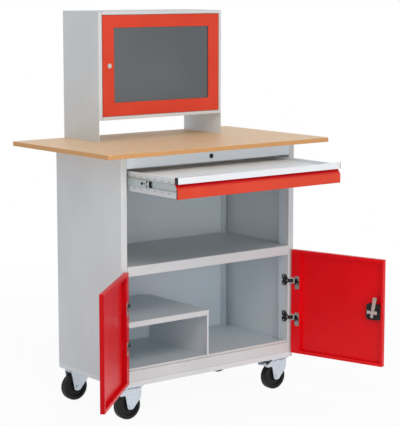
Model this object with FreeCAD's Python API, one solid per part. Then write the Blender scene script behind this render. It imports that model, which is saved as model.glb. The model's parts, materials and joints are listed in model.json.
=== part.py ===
"""Mobile computer cabinet: sheet-steel carcass on castors, multiplex worktop, glazed monitor housing.

Frame: millimetres, +Z up, +X to the right seen from the front, -Y towards the front.
The origin is on the floor under the middle of the carcass.
The model stands with its drawer pulled out and both doors open.
"""
import FreeCAD, Part
import math
import os

V = FreeCAD.Vector
X, Y, Z = V(1, 0, 0), V(0, 1, 0), V(0, 0, 1)

# Carcass
CARCASS_WIDTH = 1000.0
CARCASS_DEPTH = 510.0
CARCASS_HEIGHT = 1008.0
SHEET = 1.5
BEND = 1.5
FIT_GAP = 0.5
OVERCUT = 1.0
NEAR_ROUND = 0.99
POST_FACE = 31.0
POST_RETURN = 69.0
REAR_RETURN = 40.0
EDGE_FLANGE = 20.0

# Base frame
BASE_HEIGHT = 23.0
BASE_SHEET = 2.0
BASE_FLANGE = 60.0
BASE_CORNER = 5.0
BASE_EASE = 1.5

# Worktop
WORKTOP_THICK = 21.0
WORKTOP_SIDE_REACH = 133.0
WORKTOP_FRONT_REACH = 96.0
WORKTOP_BACK_REACH = 158.0
WORKTOP_CORNER = 5.0
WORKTOP_CHAMFER = 1.5

# Rail, floor and shelves
RAIL_HEIGHT = 58.0
RAIL_FLANGE = 40.0
FLOOR_HEIGHT = 48.0
SHELF_HEIGHT = 518.0
SHELF_LIP = 45.0
SHELF_RETURN = 15.0
HALF_SHELF_HEIGHT = 266.0
HALF_SHELF_LIP = 25.0
INSET_FRONT = 15.0
INSET_REAR = 33.0
PARTITION_FLANGE = 22.0
PARTITION_FOLD = 10.0
BRACKET_LEG = 22.0
BRACKET_LENGTH = 60.0
BRACKET_FRONT_Y = -130.0
BRACKET_REAR_Y = 140.0
CABLE_HOLE = (90.0, 60.0)
CABLE_HOLE_CORNER = 12.0
CABLE_HOLE_X = 300.0
CABLE_HOLE_RISE = 35.0

# Drawer
DRAWER_OUT = 355.0
DRAWER_SIDE_GAP = 4.5
DRAWER_TOP_GAP = 5.0
STRIP_HEIGHT = 28.0
STRIP_THICK = 3.0
RECESS_DEPTH = 18.0
RECESS_MOUTH = 24.0
FRONT_FACE = 40.0
HANDLE_LIP = 16.0
STRIP_EDGE = 2.0
STRIP_EASE = 1.0
CAP_THICK = 3.0
TRAY_SHEET = 1.2
TRAY_DEPTH = 470.0
TRAY_HEIGHT = 87.0
TRAY_HEM = 8.0
TRAY_FOOT = 12.0
DECK_DROP = 12.0
HOLE_RADIUS = 3.5
HOLE_PITCH = 50.0
HOLE_EDGE = 18.0
HOLE_FRONT = 50.0
HOLE_COUNT = 9

# Telescopic slides
SLIDE_REAR_GAP = 10.0
SLIDE_SHEET = 1.2
SLIDE_HEIGHT = 37.0
SLIDE_WIDTH = 13.0
SLIDE_PLAY = 0.3
SLIDE_RISE = 45.5
CAGE_SETBACK = 50.0
CAGE_RADIUS = 7.5
CAGE_TAIL = (28.0, 4.0)

# Doors of the lower compartment
DOOR_HEIGHT = 500.0
DOOR_DEPTH = 20.0
DOOR_STANDOFF = 3.0
DOOR_SIDE_GAP = 1.5
DOOR_MIDDLE_GAP = 3.0
DOOR_BELOW = 0.5
DOOR_HINGE_LIP = 48.0
DOOR_LIP = 15.0
DOOR_EDGE_LIP = 11.0
DOOR_FOLD_GAP = 1.0
DOOR_CORNER = 2.0
LEFT_DOOR_ANGLE = 137.4
RIGHT_DOOR_ANGLE = 105.6

# Door hinges
PIVOT_INSET = 8.0
PIVOT_FORWARD = 16.0
HINGE_DROPS = (150.0, 327.0)
PIN_RADIUS = 2.5
RUNNING = 0.05
BARREL_RADIUS = 4.4
BARREL_HEIGHT = 22.0
NECK_HEIGHT = 16.0
NECK_THICK = 3.5
NECK_EASE = 1.0
ARM_BASE_LENGTH = 40.0
ARM_BASE_HEIGHT = 53.0
ARM_BASE_FRONT = 18.0
ARM_BASE_THICK = 3.0
ARM_BASE_EASE = 2.0
LOBE_LENGTH = 25.0
LOBE_GAP = 14.0
LOBE_NOTCH = 8.0
LOBE_ROUND = 7.0
ARM_HOLE_RADIUS = 2.6
EAR_THICK = 3.5
EAR_ROUND = 0.9
EAR_FOOT = 10.0
EAR_PLAY = 0.3
PLATE_THICK = 1.8
PLATE_HEIGHT = 63.0
PLATE_DROP = 7.0
PLATE_START = 22.0
PLATE_END = 46.0
PLATE_CORNER = 4.0
NOTCH_HEIGHT = 31.0
NOTCH_LENGTH = 37.0

# Turn handle and lock of the right door
LOCK_FROM_EDGE = 49.5
LOCK_DROP = 247.5
CASE_SIZE = 73.0
CASE_FLANGE = 82.0
CASE_CORNER = 10.0
CASE_PROUD = 1.5
CASE_BACK = 2.0
CASE_WALL = 4.5
RECESS_FLOOR = 9.0
GRIP_LENGTH = 58.0
GRIP_WIDTH = 14.0
GRIP_RISE = 11.0
SPINDLE_RADIUS = 8.0
SPINDLE_NECK = 5.0
CAM_WIDTH = 20.0
CAM_REACH = 71.0
CAM_TAIL = 27.0
CAM_TAIL_WIDTH = 13.0
CAM_THICK = 4.0
CAM_ROUND = 4.0
CAM_GAP = 2.0
CAM_TURN_ANGLE = 10.0
WING_LENGTH = 52.0
WING_HEIGHT = 18.0
WING_WAIST = 9.0
WING_THICK = 6.0
WING_ROUND = 3.5

# Cylinder locks
BARREL_LOCK_RADIUS = 9.5
LOCK_FLANGE_RADIUS = 11.0
LOCK_FLANGE = 2.0
PLUG_RADIUS = 6.0
KEY_SLOT = (7.0, 1.4, 1.5)
LOCK_CAM_WIDTH = 14.0
LOCK_CAM_THICK = 2.5
LOCK_CAM_ROUND = 5.5
PLUG_PROUD = 1.0
RAIL_LOCK_RISE = 26.0
RAIL_LOCK_DEPTH = 22.0
RAIL_CAM_REACH = 44.0
MONITOR_LOCK_INSET = 37.5
MONITOR_LOCK_DEPTH = 17.0
MONITOR_CAM_REACH = 48.0

# Monitor housing
HOUSING_WIDTH = 714.0
HOUSING_DEPTH = 291.0
HOUSING_HEIGHT = 592.0
HOUSING_OFFSET = 6.0
HOUSING_LEG = 98.0
STRIP_LEFT = 20.0
STRIP_RIGHT = 15.0
STRIP_TOP = 15.0
STRIP_BOTTOM = 15.5
HOUSING_REAR_FLANGE = 20.0
HOUSING_CABLE_SLOT = (160.0, 45.0)

# Monitor door
PANEL_GAP = 2.0
PANEL_DEPTH = 15.0
PANEL_CORNER = 1.5
WINDOW_SIDE = 63.0
WINDOW_TOP = 57.0
WINDOW_BOTTOM = 61.0
WINDOW_CORNER = 4.0
PANE_THICK = 4.0
PANE_OVERLAP = 8.0
GASKET_OUTER = 15.0
GASKET_SKIN = 2.0
PANEL_PIVOT_INSET = 6.0
PANEL_PIVOT_DEPTH = 6.0
PANEL_BOSS = 12.0
PANEL_PIN_REACH = 10.0

# Castors
CASTOR_HEIGHT = 154.0
CASTOR_INSET_X = 70.0
CASTOR_INSET_Y = 44.0
CASTOR_TRAIL = 16.0
WHEEL_RADIUS = 62.5
WHEEL_WIDTH = 44.0
TREAD_ROUND = 11.0
RIM_RADIUS = 44.0
RIM_RECESS = 7.0
RIM_SLOPE = 3.0
HUB_RADIUS = 18.0
HUB_WIDTH = 49.0
AXLE_RADIUS = 6.0
AXLE_HEAD = 6.0
AXLE_HEAD_ACROSS = 17.0
TOP_PLATE = (104.0, 84.0, 4.0)
TOP_PLATE_CORNER = 8.0
BOLT_SPACING = (80.0, 60.0)
BOLT_RADIUS = 4.0
BOLT_HOLE_RADIUS = 4.5
BOLT_HEAD_ACROSS = 13.0
BOLT_HEAD = 5.3
BOLT_PROUD = 1.0
RACE_RADIUS = 33.0
RACE_TAPER = 6.0
RACE_SPLIT = 145.5
RACE_GAP = 0.4
KINGPIN_RADIUS = 6.0
KINGPIN_HEAD_RADIUS = 10.0
KINGPIN_HEAD = 3.5
FORK_SHEET = 3.0
FORK_CROWN_Z = 137.0
FORK_CROWN_THICK = 4.0
FORK_CROWN_FRONT = 46.0
FORK_CROWN_REAR = 48.0
FORK_EDGE = 2.0
FORK_SIDE_GAP = 1.5
FORK_FOOT_RADIUS = 14.0
FORK_SHOULDER = (41.0, 97.0)
FORK_SHOULDER_ROUND = 12.0
BRAKE_ARM = 44.0
BRAKE_RISE = 58.5
BRAKE_PIN_RADIUS = 3.0
BRAKE_BOSS = 6.0
HOOD_DROP = 10.0
HOOD_REACH = 22.0
HOOD_TIP = 6.0
HOOD_TIP_ROUND = 2.5
BRAKE_SIDE_GAP = 0.6
BRAKE_PEDAL_REACH = 37.0
BRAKE_PEDAL_LIFT = 13.0
BRAKE_PEDAL_FALL = 8.0
BRAKE_PEDAL_THICK = 4.0
BRAKE_PEDAL_EDGE = 1.5
BRAKE_PEDAL_WIDTH = 36.0
BRAKE_PAD_START = 17.0
BRAKE_TRAVEL = 20.0
BRAKE_PRESSED_GAP = 0.5
SHOE_WIDTH = 5.0
SHOE_ROUND = 2.0

# Places worked out from the sizes above
HALF = CARCASS_WIDTH / 2
FRONT = -CARCASS_DEPTH / 2
BACK = CARCASS_DEPTH / 2
POST_IN = HALF - POST_FACE
BASE_TOP = CASTOR_HEIGHT + BASE_HEIGHT
CARCASS_TOP = BASE_TOP + CARCASS_HEIGHT
WORKTOP_TOP = CARCASS_TOP + WORKTOP_THICK
WORKTOP_BACK = BACK + WORKTOP_BACK_REACH
RAIL_BOTTOM = CARCASS_TOP - RAIL_HEIGHT
FLOOR_TOP = BASE_TOP + FLOOR_HEIGHT
SHELF_TOP = BASE_TOP + SHELF_HEIGHT
HALF_SHELF_TOP = BASE_TOP + HALF_SHELF_HEIGHT
DRAWER_TOP = RAIL_BOTTOM - DRAWER_TOP_GAP
DRAWER_BOTTOM = DRAWER_TOP - STRIP_HEIGHT - RECESS_MOUTH - FRONT_FACE
DRAWER_HALF = POST_IN - DRAWER_SIDE_GAP
TRAY_HALF = POST_IN - SLIDE_WIDTH
TRAY_FRONT = FRONT + RECESS_DEPTH + SHEET
SLIDE_Z = DRAWER_BOTTOM + SLIDE_RISE
SLIDE_FRONT = TRAY_FRONT + 2 * FIT_GAP
SLIDE_REAR = BACK - EDGE_FLANGE - SLIDE_REAR_GAP
DOOR_BOTTOM = BASE_TOP - DOOR_BELOW
DOOR_TOP = DOOR_BOTTOM + DOOR_HEIGHT
DOOR_OUTER = HALF - DOOR_SIDE_GAP
DOOR_INNER = DOOR_MIDDLE_GAP / 2
DOOR_BACK_Y = FRONT - DOOR_STANDOFF
DOOR_FRONT_Y = DOOR_BACK_Y - DOOR_DEPTH
PIVOT = V(HALF - PIVOT_INSET, FRONT - PIVOT_FORWARD, 0)
HINGE_HEIGHTS = [DOOR_TOP - drop for drop in HINGE_DROPS]
HOUSING_LEFT = HOUSING_OFFSET - HOUSING_WIDTH / 2
HOUSING_RIGHT = HOUSING_OFFSET + HOUSING_WIDTH / 2
HOUSING_FRONT = WORKTOP_BACK - HOUSING_DEPTH
HOUSING_TOP = WORKTOP_TOP + HOUSING_HEIGHT
HOUSING_FLOOR = WORKTOP_TOP + HOUSING_LEG
PANEL_LEFT = HOUSING_LEFT + STRIP_LEFT + PANEL_GAP
PANEL_RIGHT = HOUSING_RIGHT - STRIP_RIGHT - PANEL_GAP
PANEL_BOTTOM = HOUSING_FLOOR + STRIP_BOTTOM + PANEL_GAP
PANEL_TOP = HOUSING_TOP - STRIP_TOP - PANEL_GAP
PLATE_BOTTOM = CASTOR_HEIGHT - TOP_PLATE[2]
WHEEL_CENTRE = V(-CASTOR_TRAIL, 0, WHEEL_RADIUS)


def on_axis(axis, u, v, along):
    """Point with coordinates u, v across the named axis and along it."""
    return {"x": V(along, u, v), "y": V(u, along, v), "z": V(u, v, along)}[axis]


def outline(axis, corners, along):
    """Closed wire through (u, v) or (u, v, radius) corners; a radius rounds its corner."""
    starts, ends, edges = [], [], []
    count = len(corners)
    for k in range(count):
        before, here, after = (corners[(k + step) % count] for step in (-1, 0, 1))
        point = V(here[0], here[1], 0)
        back = (V(before[0], before[1], 0) - point).normalize()
        ahead = (V(after[0], after[1], 0) - point).normalize()
        radius = here[2] if len(here) > 2 else 0
        half = back.getAngle(ahead) / 2
        reach = radius / math.tan(half)
        starts.append(point + back * reach)
        ends.append(point + ahead * reach)
        if radius:
            bisector = (back + ahead).normalize()
            middle = point + bisector * (radius / math.sin(half) - radius)
            arc = [on_axis(axis, p.x, p.y, along) for p in (starts[k], middle, ends[k])]
            edges.append(Part.Arc(*arc).toShape())
        else:
            edges.append(None)
    joined = []
    for k in range(count):
        if edges[k]:
            joined.append(edges[k])
        nxt = starts[(k + 1) % count]
        if ends[k].distanceToPoint(nxt) > 1e-6:
            line = [on_axis(axis, p.x, p.y, along) for p in (ends[k], nxt)]
            joined.append(Part.makeLine(*line))
    return Part.Wire(joined)


def prism(axis, corners, start, end):
    """Solid with the given outline across an axis, from start to end along it."""
    face = Part.Face(outline(axis, corners, start))
    return face.extrude({"x": X, "y": Y, "z": Z}[axis] * (end - start))


def rectangle(u0, v0, u1, v1, radius=0):
    """Corners of a rectangle, all rounded alike."""
    return [(u0, v0, radius), (u1, v0, radius), (u1, v1, radius), (u0, v1, radius)]


def block(x0, x1, y0, y1, z0, z1):
    """Plain box between two corners."""
    return prism("z", rectangle(x0, y0, x1, y1), z0, z1)


def folded(axis, path, thickness, start, end):
    """Folded sheet: the path is its outer line, and its thickness lies to the left of the path."""
    points = [V(u, v, 0) for u, v in path]
    runs = [(b - a).normalize() for a, b in zip(points, points[1:])]
    lefts = [V(-d.y, d.x, 0) for d in runs]
    outer = [(path[0][0], path[0][1])]
    first = points[0] + lefts[0] * thickness
    inner = [(first.x, first.y)]
    for point, n0, n1, d0 in zip(points[1:-1], lefts, lefts[1:], runs):
        shifted = point + (n0 + n1) * (thickness / (1 + n0.dot(n1)))
        turns_left = d0.cross(V(-n1.y, n1.x, 0)).z < 0
        outer.append((point.x, point.y, BEND + thickness if turns_left else BEND))
        inner.append((shifted.x, shifted.y, BEND if turns_left else BEND + thickness))
    last = points[-1] + lefts[-1] * thickness
    outer.append((path[-1][0], path[-1][1]))
    inner.append((last.x, last.y))
    return prism(axis, outer + inner[::-1], start, end)


def rod(centre, axis, radius, start, end):
    """Cylinder along X, Y or Z through a centre point, between two distances along the axis."""
    return Part.makeCylinder(radius, end - start, centre + axis * start, axis)


def hexagon(centre, axis, across, start, end):
    """Hexagonal prism along X, Y or Z, of the given width across its flats."""
    names = {(1, 0, 0): "x", (0, 1, 0): "y", (0, 0, 1): "z"}
    corner = across / math.sqrt(3)
    turns = [math.radians(60 * k + 30) for k in range(6)]
    points = [(corner * math.cos(t), corner * math.sin(t)) for t in turns]
    shape = prism(names[tuple(axis)], points, start, end)
    return shape.translated(centre)


def mirrored(shape):
    """Copy on the other side of the cabinet's middle plane."""
    return shape.mirror(V(0, 0, 0), X)


def group(shapes):
    """Several separate solids in one node."""
    return Part.makeCompound(list(shapes))


def post_blocks(gap):
    """The room that the four posts take, with a gap round it, for notching floor and shelves."""
    low, high = BASE_TOP - OVERCUT, CARCASS_TOP + OVERCUT
    front = block(POST_IN - gap, HALF + OVERCUT, FRONT - OVERCUT, FRONT + POST_RETURN + gap, low, high)
    rear_in = POST_IN - SHEET - BEND - gap
    rear = block(rear_in, HALF + OVERCUT, BACK - REAR_RETURN - gap, BACK + OVERCUT, low, high)
    right = front.fuse(rear)
    return right.fuse(mirrored(right))


def side_panel():
    """Left side with its front and rear posts folded from the same sheet."""
    path = [
        (-POST_IN, BACK - REAR_RETURN),
        (-POST_IN, BACK),
        (-HALF, BACK),
        (-HALF, FRONT),
        (-POST_IN, FRONT),
        (-POST_IN, FRONT + POST_RETURN),
    ]
    return folded("z", path, SHEET, BASE_TOP, CARCASS_TOP)


def back_panel():
    """Back with side flanges against the rear posts, a top flange and a cable opening."""
    path = [
        (POST_IN, BACK - EDGE_FLANGE),
        (POST_IN, BACK),
        (-POST_IN, BACK),
        (-POST_IN, BACK - EDGE_FLANGE),
    ]
    panel = folded("z", path, SHEET, BASE_TOP, CARCASS_TOP)
    inside = POST_IN - SHEET
    flange = block(-inside, inside, BACK - EDGE_FLANGE, BACK - SHEET, CARCASS_TOP - SHEET, CARCASS_TOP)
    width, height = CABLE_HOLE
    z0 = FLOOR_TOP + CABLE_HOLE_RISE
    x0 = CABLE_HOLE_X - width / 2
    corners = rectangle(x0, z0, x0 + width, z0 + height, CABLE_HOLE_CORNER)
    hole = prism("y", corners, BACK - 2 * SHEET, BACK + OVERCUT)
    return panel.fuse(flange).cut(hole).removeSplitter()


def bottom_panel():
    """Floor folded down to the base frame at the front and the back."""
    path = [
        (BACK - SHEET, BASE_TOP),
        (BACK - SHEET, FLOOR_TOP),
        (FRONT, FLOOR_TOP),
        (FRONT, BASE_TOP),
        (FRONT + EDGE_FLANGE, BASE_TOP),
    ]
    reach = HALF - SHEET - FIT_GAP
    return folded("x", path, SHEET, -reach, reach).cut(post_blocks(FIT_GAP))


def top_rail():
    """Front rail under the worktop with the hole for its lock."""
    path = [
        (FRONT + RAIL_FLANGE, CARCASS_TOP),
        (FRONT, CARCASS_TOP),
        (FRONT, RAIL_BOTTOM),
        (FRONT + EDGE_FLANGE, RAIL_BOTTOM),
    ]
    rail = folded("x", path, SHEET, -POST_IN, POST_IN)
    centre = V(0, FRONT, RAIL_BOTTOM + RAIL_LOCK_RISE)
    return rail.cut(rod(centre, Y, BARREL_LOCK_RADIUS, -OVERCUT, RAIL_LOCK_DEPTH))


def base_frame():
    """Channel frame with a gusset and bolt holes for each castor."""
    z0, z1 = CASTOR_HEIGHT, BASE_TOP
    ring = prism("z", rectangle(-HALF, FRONT, HALF, BACK, BASE_CORNER), z0, z1)
    rim = [e for f in ring.Faces if f.normalAt(0, 0).z > 0.5 for e in f.Edges]
    ring = ring.makeChamfer(BASE_EASE, rim)
    inset = BASE_FLANGE
    low, high = z0 - OVERCUT, z1 + OVERCUT
    opening = block(-HALF + inset, HALF - inset, FRONT + inset, BACK - inset, low, high)
    wall = BASE_SHEET
    channel = block(-HALF + wall, HALF - wall, FRONT + wall, BACK - wall, z0 + wall, z1 - wall)
    frame = ring.cut(opening).cut(channel)
    margin = TOP_PLATE_CORNER
    for x, y in castor_places():
        side_x, side_y = math.copysign(1, x), math.copysign(1, y)
        xs = sorted((x - side_x * (TOP_PLATE[0] / 2 + margin), side_x * (HALF - wall)))
        ys = sorted((y - side_y * (TOP_PLATE[1] / 2 + margin), side_y * (BACK - wall)))
        frame = frame.fuse(block(xs[0], xs[1], ys[0], ys[1], z0, z0 + wall))
    holes = [rod(V(x, y, 0), Z, BOLT_HOLE_RADIUS, low, z0 + 2 * wall) for x, y in bolt_places()]
    return frame.cut(holes).removeSplitter()


def worktop():
    """Multiplex board with eased edges."""
    reach = HALF + WORKTOP_SIDE_REACH
    corners = rectangle(-reach, FRONT - WORKTOP_FRONT_REACH, reach, WORKTOP_BACK, WORKTOP_CORNER)
    board = prism("z", corners, CARCASS_TOP, WORKTOP_TOP)
    rims = [e for f in board.Faces if abs(f.normalAt(0, 0).z) > 0.5 for e in f.Edges]
    return board.makeChamfer(WORKTOP_CHAMFER, rims)


def middle_shelf():
    """Full-width shelf with a deep front lip, notched round the posts."""
    path = [
        (BACK - SHEET - FIT_GAP, SHELF_TOP - EDGE_FLANGE),
        (BACK - SHEET - FIT_GAP, SHELF_TOP),
        (FRONT, SHELF_TOP),
        (FRONT, SHELF_TOP - SHELF_LIP),
        (FRONT + SHELF_RETURN, SHELF_TOP - SHELF_LIP),
    ]
    reach = HALF - SHEET - FIT_GAP
    return folded("x", path, SHEET, -reach, reach).cut(post_blocks(FIT_GAP))


def half_shelf():
    """Shelf over the left half, resting on the partition."""
    path = [
        (BACK - INSET_REAR, HALF_SHELF_TOP - EDGE_FLANGE),
        (BACK - INSET_REAR, HALF_SHELF_TOP),
        (FRONT + INSET_FRONT, HALF_SHELF_TOP),
        (FRONT + INSET_FRONT, HALF_SHELF_TOP - HALF_SHELF_LIP),
    ]
    left = -HALF + SHEET + FIT_GAP
    return folded("x", path, SHEET, left, 0).cut(post_blocks(FIT_GAP))


def partition():
    """Upright under the half shelf, flanged at its foot and head and folded at its front edge."""
    y0 = FRONT + INSET_FRONT + SHEET + BEND
    y1 = BACK - INSET_REAR - SHEET - BEND
    head = HALF_SHELF_TOP - SHEET
    path = [(-PARTITION_FLANGE, FLOOR_TOP), (0, FLOOR_TOP), (0, head), (-PARTITION_FLANGE, head)]
    upright = folded("y", path, SHEET, y0, y1)
    fold = block(-PARTITION_FOLD, -SHEET / 2, y0, y0 + SHEET, FLOOR_TOP + SHEET / 2, head - SHEET / 2)
    return upright.fuse(fold).removeSplitter()


def shelf_bracket(y, top):
    """Angle on the inside of the left side panel, under a shelf."""
    x = -HALF + SHEET
    path = [(x, top - BRACKET_LEG), (x, top), (x + BRACKET_LEG, top)]
    return folded("y", path[::-1], SHEET, y, y + BRACKET_LENGTH)


def shelf_brackets():
    """Four angles under the middle shelf and two under the half shelf."""
    under = SHELF_TOP - SHEET
    places = (BRACKET_FRONT_Y, BRACKET_REAR_Y)
    left = [shelf_bracket(y, under) for y in places]
    lower = [shelf_bracket(y, HALF_SHELF_TOP - SHEET) for y in places]
    return group(left + [mirrored(s) for s in left] + lower)


def channel_member(web, tip, half_height, shift):
    """Slide member of the left slide: a channel from its web to its flange tips, moved out by shift."""
    path = [(tip, half_height), (web, half_height), (web, -half_height), (tip, -half_height)]
    if tip < web:
        path = path[::-1]
    member = folded("y", path, SLIDE_SHEET, SLIDE_FRONT, SLIDE_REAR)
    return member.translated(V(-POST_IN, -shift, SLIDE_Z))


def cage_head(x, thickness, length):
    """Round head of the left slide's ball cage with its tail, in the web of the middle member."""
    y = SLIDE_FRONT - DRAWER_OUT / 2 + CAGE_SETBACK
    head = rod(V(x, y, SLIDE_Z), X, CAGE_RADIUS, 0, thickness)
    half = CAGE_TAIL[1] / 2
    tail = rectangle(y - length, SLIDE_Z - half, y, SLIDE_Z + half)
    return head.fuse(prism("x", tail, x, x + thickness)).removeSplitter()


def slide_members():
    """Cabinet, middle and drawer members of the left slide and the ball cage, at rest."""
    outer_half = SLIDE_HEIGHT / 2
    middle_half = outer_half - SLIDE_SHEET - SLIDE_PLAY
    inner_half = middle_half - SLIDE_SHEET - SLIDE_PLAY
    middle_web = SLIDE_SHEET + SLIDE_PLAY
    inner_tip = middle_web + SLIDE_SHEET + BEND + SLIDE_PLAY
    tip = SLIDE_WIDTH - SLIDE_SHEET - SLIDE_PLAY
    outer = channel_member(0, tip - SLIDE_SHEET, outer_half, 0)
    middle = channel_member(middle_web, tip, middle_half, DRAWER_OUT / 2)
    inner = channel_member(SLIDE_WIDTH, inner_tip, inner_half, DRAWER_OUT)
    x0 = -POST_IN + middle_web
    cage = cage_head(x0, SLIDE_SHEET, CAGE_TAIL[0])
    middle = middle.cut(cage)
    return outer, middle, inner, cage


def drawer_tray():
    """Keyboard tray: a deck near the rim between hemmed, perforated side walls."""
    z0, z1 = DRAWER_BOTTOM, DRAWER_BOTTOM + TRAY_HEIGHT
    y0, y1 = TRAY_FRONT, TRAY_FRONT + TRAY_DEPTH
    left = [
        (-TRAY_HALF + TRAY_HEM, z1),
        (-TRAY_HALF, z1),
        (-TRAY_HALF, z0),
        (-TRAY_HALF + TRAY_FOOT, z0),
    ]
    right = [(-x, z) for x, z in reversed(left)]
    walls = folded("y", left, TRAY_SHEET, y0, y1).fuse(folded("y", right, TRAY_SHEET, y0, y1))
    first = y0 + HOLE_FRONT
    rows = (z0 + HOLE_EDGE, z1 - HOLE_EDGE)
    places = [V(0, first + HOLE_PITCH * k, z) for k in range(HOLE_COUNT) for z in rows]
    walls = walls.cut([rod(p, X, HOLE_RADIUS, -HALF, HALF) for p in places])
    inside = TRAY_HALF - TRAY_SHEET / 2
    deck = z1 - DECK_DROP
    plates = [block(-inside, inside, y0, y1, deck - TRAY_SHEET, deck)]
    for y in (y0, y1 - TRAY_SHEET):
        plates.append(block(-inside, inside, y, y + TRAY_SHEET, z0 + TRAY_SHEET / 2, z1 - TRAY_SHEET / 2))
    return walls.fuse(plates).removeSplitter()


def drawer_front():
    """Folded front whose upper band slants back under the handle strip."""
    recess = FRONT + RECESS_DEPTH
    kink = DRAWER_BOTTOM + FRONT_FACE
    path = [
        (recess, DRAWER_TOP - SHEET),
        (recess, kink + RECESS_MOUTH),
        (FRONT, kink),
        (FRONT, DRAWER_BOTTOM),
        (FRONT + RECESS_DEPTH, DRAWER_BOTTOM),
    ]
    return folded("x", path, SHEET, -DRAWER_HALF, DRAWER_HALF)


def drawer_handle():
    """Extruded strip hooked over the recess, open below for the fingers."""
    z0, z1 = DRAWER_TOP - STRIP_HEIGHT, DRAWER_TOP
    rear = FRONT + RECESS_DEPTH
    wall = STRIP_THICK
    corners = [
        (FRONT, z0, STRIP_EASE),
        (FRONT + wall, z0, STRIP_EASE),
        (FRONT + wall, z1 - wall, STRIP_EASE),
        (rear - wall, z1 - wall, STRIP_EASE),
        (rear - wall, z1 - HANDLE_LIP),
        (rear, z1 - HANDLE_LIP),
        (rear, z1),
        (FRONT, z1, STRIP_EDGE),
    ]
    reach = DRAWER_HALF - CAP_THICK
    return prism("x", corners, -reach, reach)


def handle_end_caps():
    """Caps that close both ends of the handle strip."""
    z0 = DRAWER_TOP - STRIP_HEIGHT
    corners = rectangle(FRONT, z0, FRONT + RECESS_DEPTH, DRAWER_TOP, STRIP_EDGE)
    cap = prism("x", corners, -DRAWER_HALF, -DRAWER_HALF + CAP_THICK)
    return group([cap, mirrored(cap)])


def lock_place():
    """Axis of the right door's lock, with the door closed."""
    return V(DOOR_INNER + LOCK_FROM_EDGE, DOOR_FRONT_Y, DOOR_TOP - LOCK_DROP)


def door_panel(with_lock):
    """Right door, closed: a pan whose lips fold in again towards its skin, notched for its hinges."""
    x0, x1, z0, z1 = DOOR_INNER, DOOR_OUTER, DOOR_BOTTOM, DOOR_TOP
    pan = prism("y", rectangle(x0, z0, x1, z1, DOOR_CORNER), DOOR_FRONT_Y, DOOR_BACK_Y)
    wall = SHEET
    cavity = block(x0 + wall, x1 - wall, DOOR_FRONT_Y + wall, DOOR_BACK_Y - wall, z0 + wall, z1 - wall)
    skin, y1 = DOOR_FRONT_Y + wall, DOOR_BACK_Y + OVERCUT
    left, right = x0 + DOOR_EDGE_LIP, x1 - DOOR_HINGE_LIP
    low, high = z0 + DOOR_LIP, z1 - DOOR_LIP
    mouth = block(left, right, skin, y1, low, high)
    fold_end = skin + DOOR_FOLD_GAP
    folds = block(left - wall, right + wall, fold_end, DOOR_BACK_Y, low - wall, high + wall)
    pan = pan.cut(cavity).fuse(folds).cut(mouth)
    for z in HINGE_HEIGHTS:
        half = NOTCH_HEIGHT / 2
        pan = pan.cut(block(HALF - NOTCH_LENGTH, HALF + OVERCUT, skin, y1, z - half, z + half))
    if with_lock:
        c = lock_place()
        half = CASE_SIZE / 2
        corners = rectangle(c.x - half, c.z - half, c.x + half, c.z + half, CASE_CORNER)
        pan = pan.cut(prism("y", corners, DOOR_FRONT_Y - OVERCUT, skin + OVERCUT))
    return pan.removeSplitter()


def in_hinge(i, w):
    """Plan point i inwards from the right side of the carcass and w forwards from its front."""
    return HALF - i, FRONT - w


def hinge_outline(points):
    """Corners given as (i, w) or (i, w, radius), for a prism along Z."""
    return [in_hinge(p[0], p[1]) + tuple(p[2:]) for p in points]


def hinge_arm(z):
    """Arm on the right front post: base plate, neck and barrel in one."""
    back, front = PIVOT_FORWARD - NECK_THICK / 2, PIVOT_FORWARD + NECK_THICK / 2
    inner, outer = POST_FACE, POST_FACE + ARM_BASE_THICK
    neck = hinge_outline([
        (PIVOT_INSET, back),
        (inner, back, NECK_EASE),
        (inner, -ARM_BASE_LENGTH / 2),
        (outer, -ARM_BASE_LENGTH / 2),
        (outer, front, NECK_THICK),
        (PIVOT_INSET, front),
    ])
    arm = prism("z", neck, z - NECK_HEIGHT / 2, z + NECK_HEIGHT / 2)
    tall, short = ARM_BASE_HEIGHT / 2, ARM_BASE_FRONT / 2
    rear, fore = FRONT + ARM_BASE_LENGTH, FRONT + SHEET
    lobe, ease = LOBE_ROUND, ARM_BASE_EASE
    base = [
        (fore, z - short, ease),
        (rear - LOBE_LENGTH, z - tall, lobe),
        (rear, z - tall, lobe),
        (rear, z - LOBE_GAP / 2, ease),
        (rear - LOBE_NOTCH, z, ease),
        (rear, z + LOBE_GAP / 2, ease),
        (rear, z + tall, lobe),
        (rear - LOBE_LENGTH, z + tall, lobe),
        (fore, z + short, ease),
    ]
    arm = arm.fuse(prism("x", base, HALF - outer, HALF - inner))
    for side in (-1, 1):
        screw = V(HALF - outer, rear - LOBE_LENGTH / 2, z + side * (tall - lobe))
        arm = arm.cut(rod(screw, X, ARM_HOLE_RADIUS, -OVERCUT, ARM_BASE_THICK + OVERCUT))
    arm = arm.fuse(rod(PIVOT, Z, BARREL_RADIUS, z - BARREL_HEIGHT / 2, z + BARREL_HEIGHT / 2))
    bore = rod(PIVOT, Z, PIN_RADIUS + RUNNING, z - BARREL_HEIGHT, z + BARREL_HEIGHT)
    return arm.cut(bore).removeSplitter()


def hinge_pin(z):
    """Pin through the barrel of the arm and both ears of the plate."""
    reach = BARREL_HEIGHT / 2 + EAR_PLAY + EAR_THICK
    return rod(PIVOT, Z, PIN_RADIUS, z - reach, z + reach)


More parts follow.
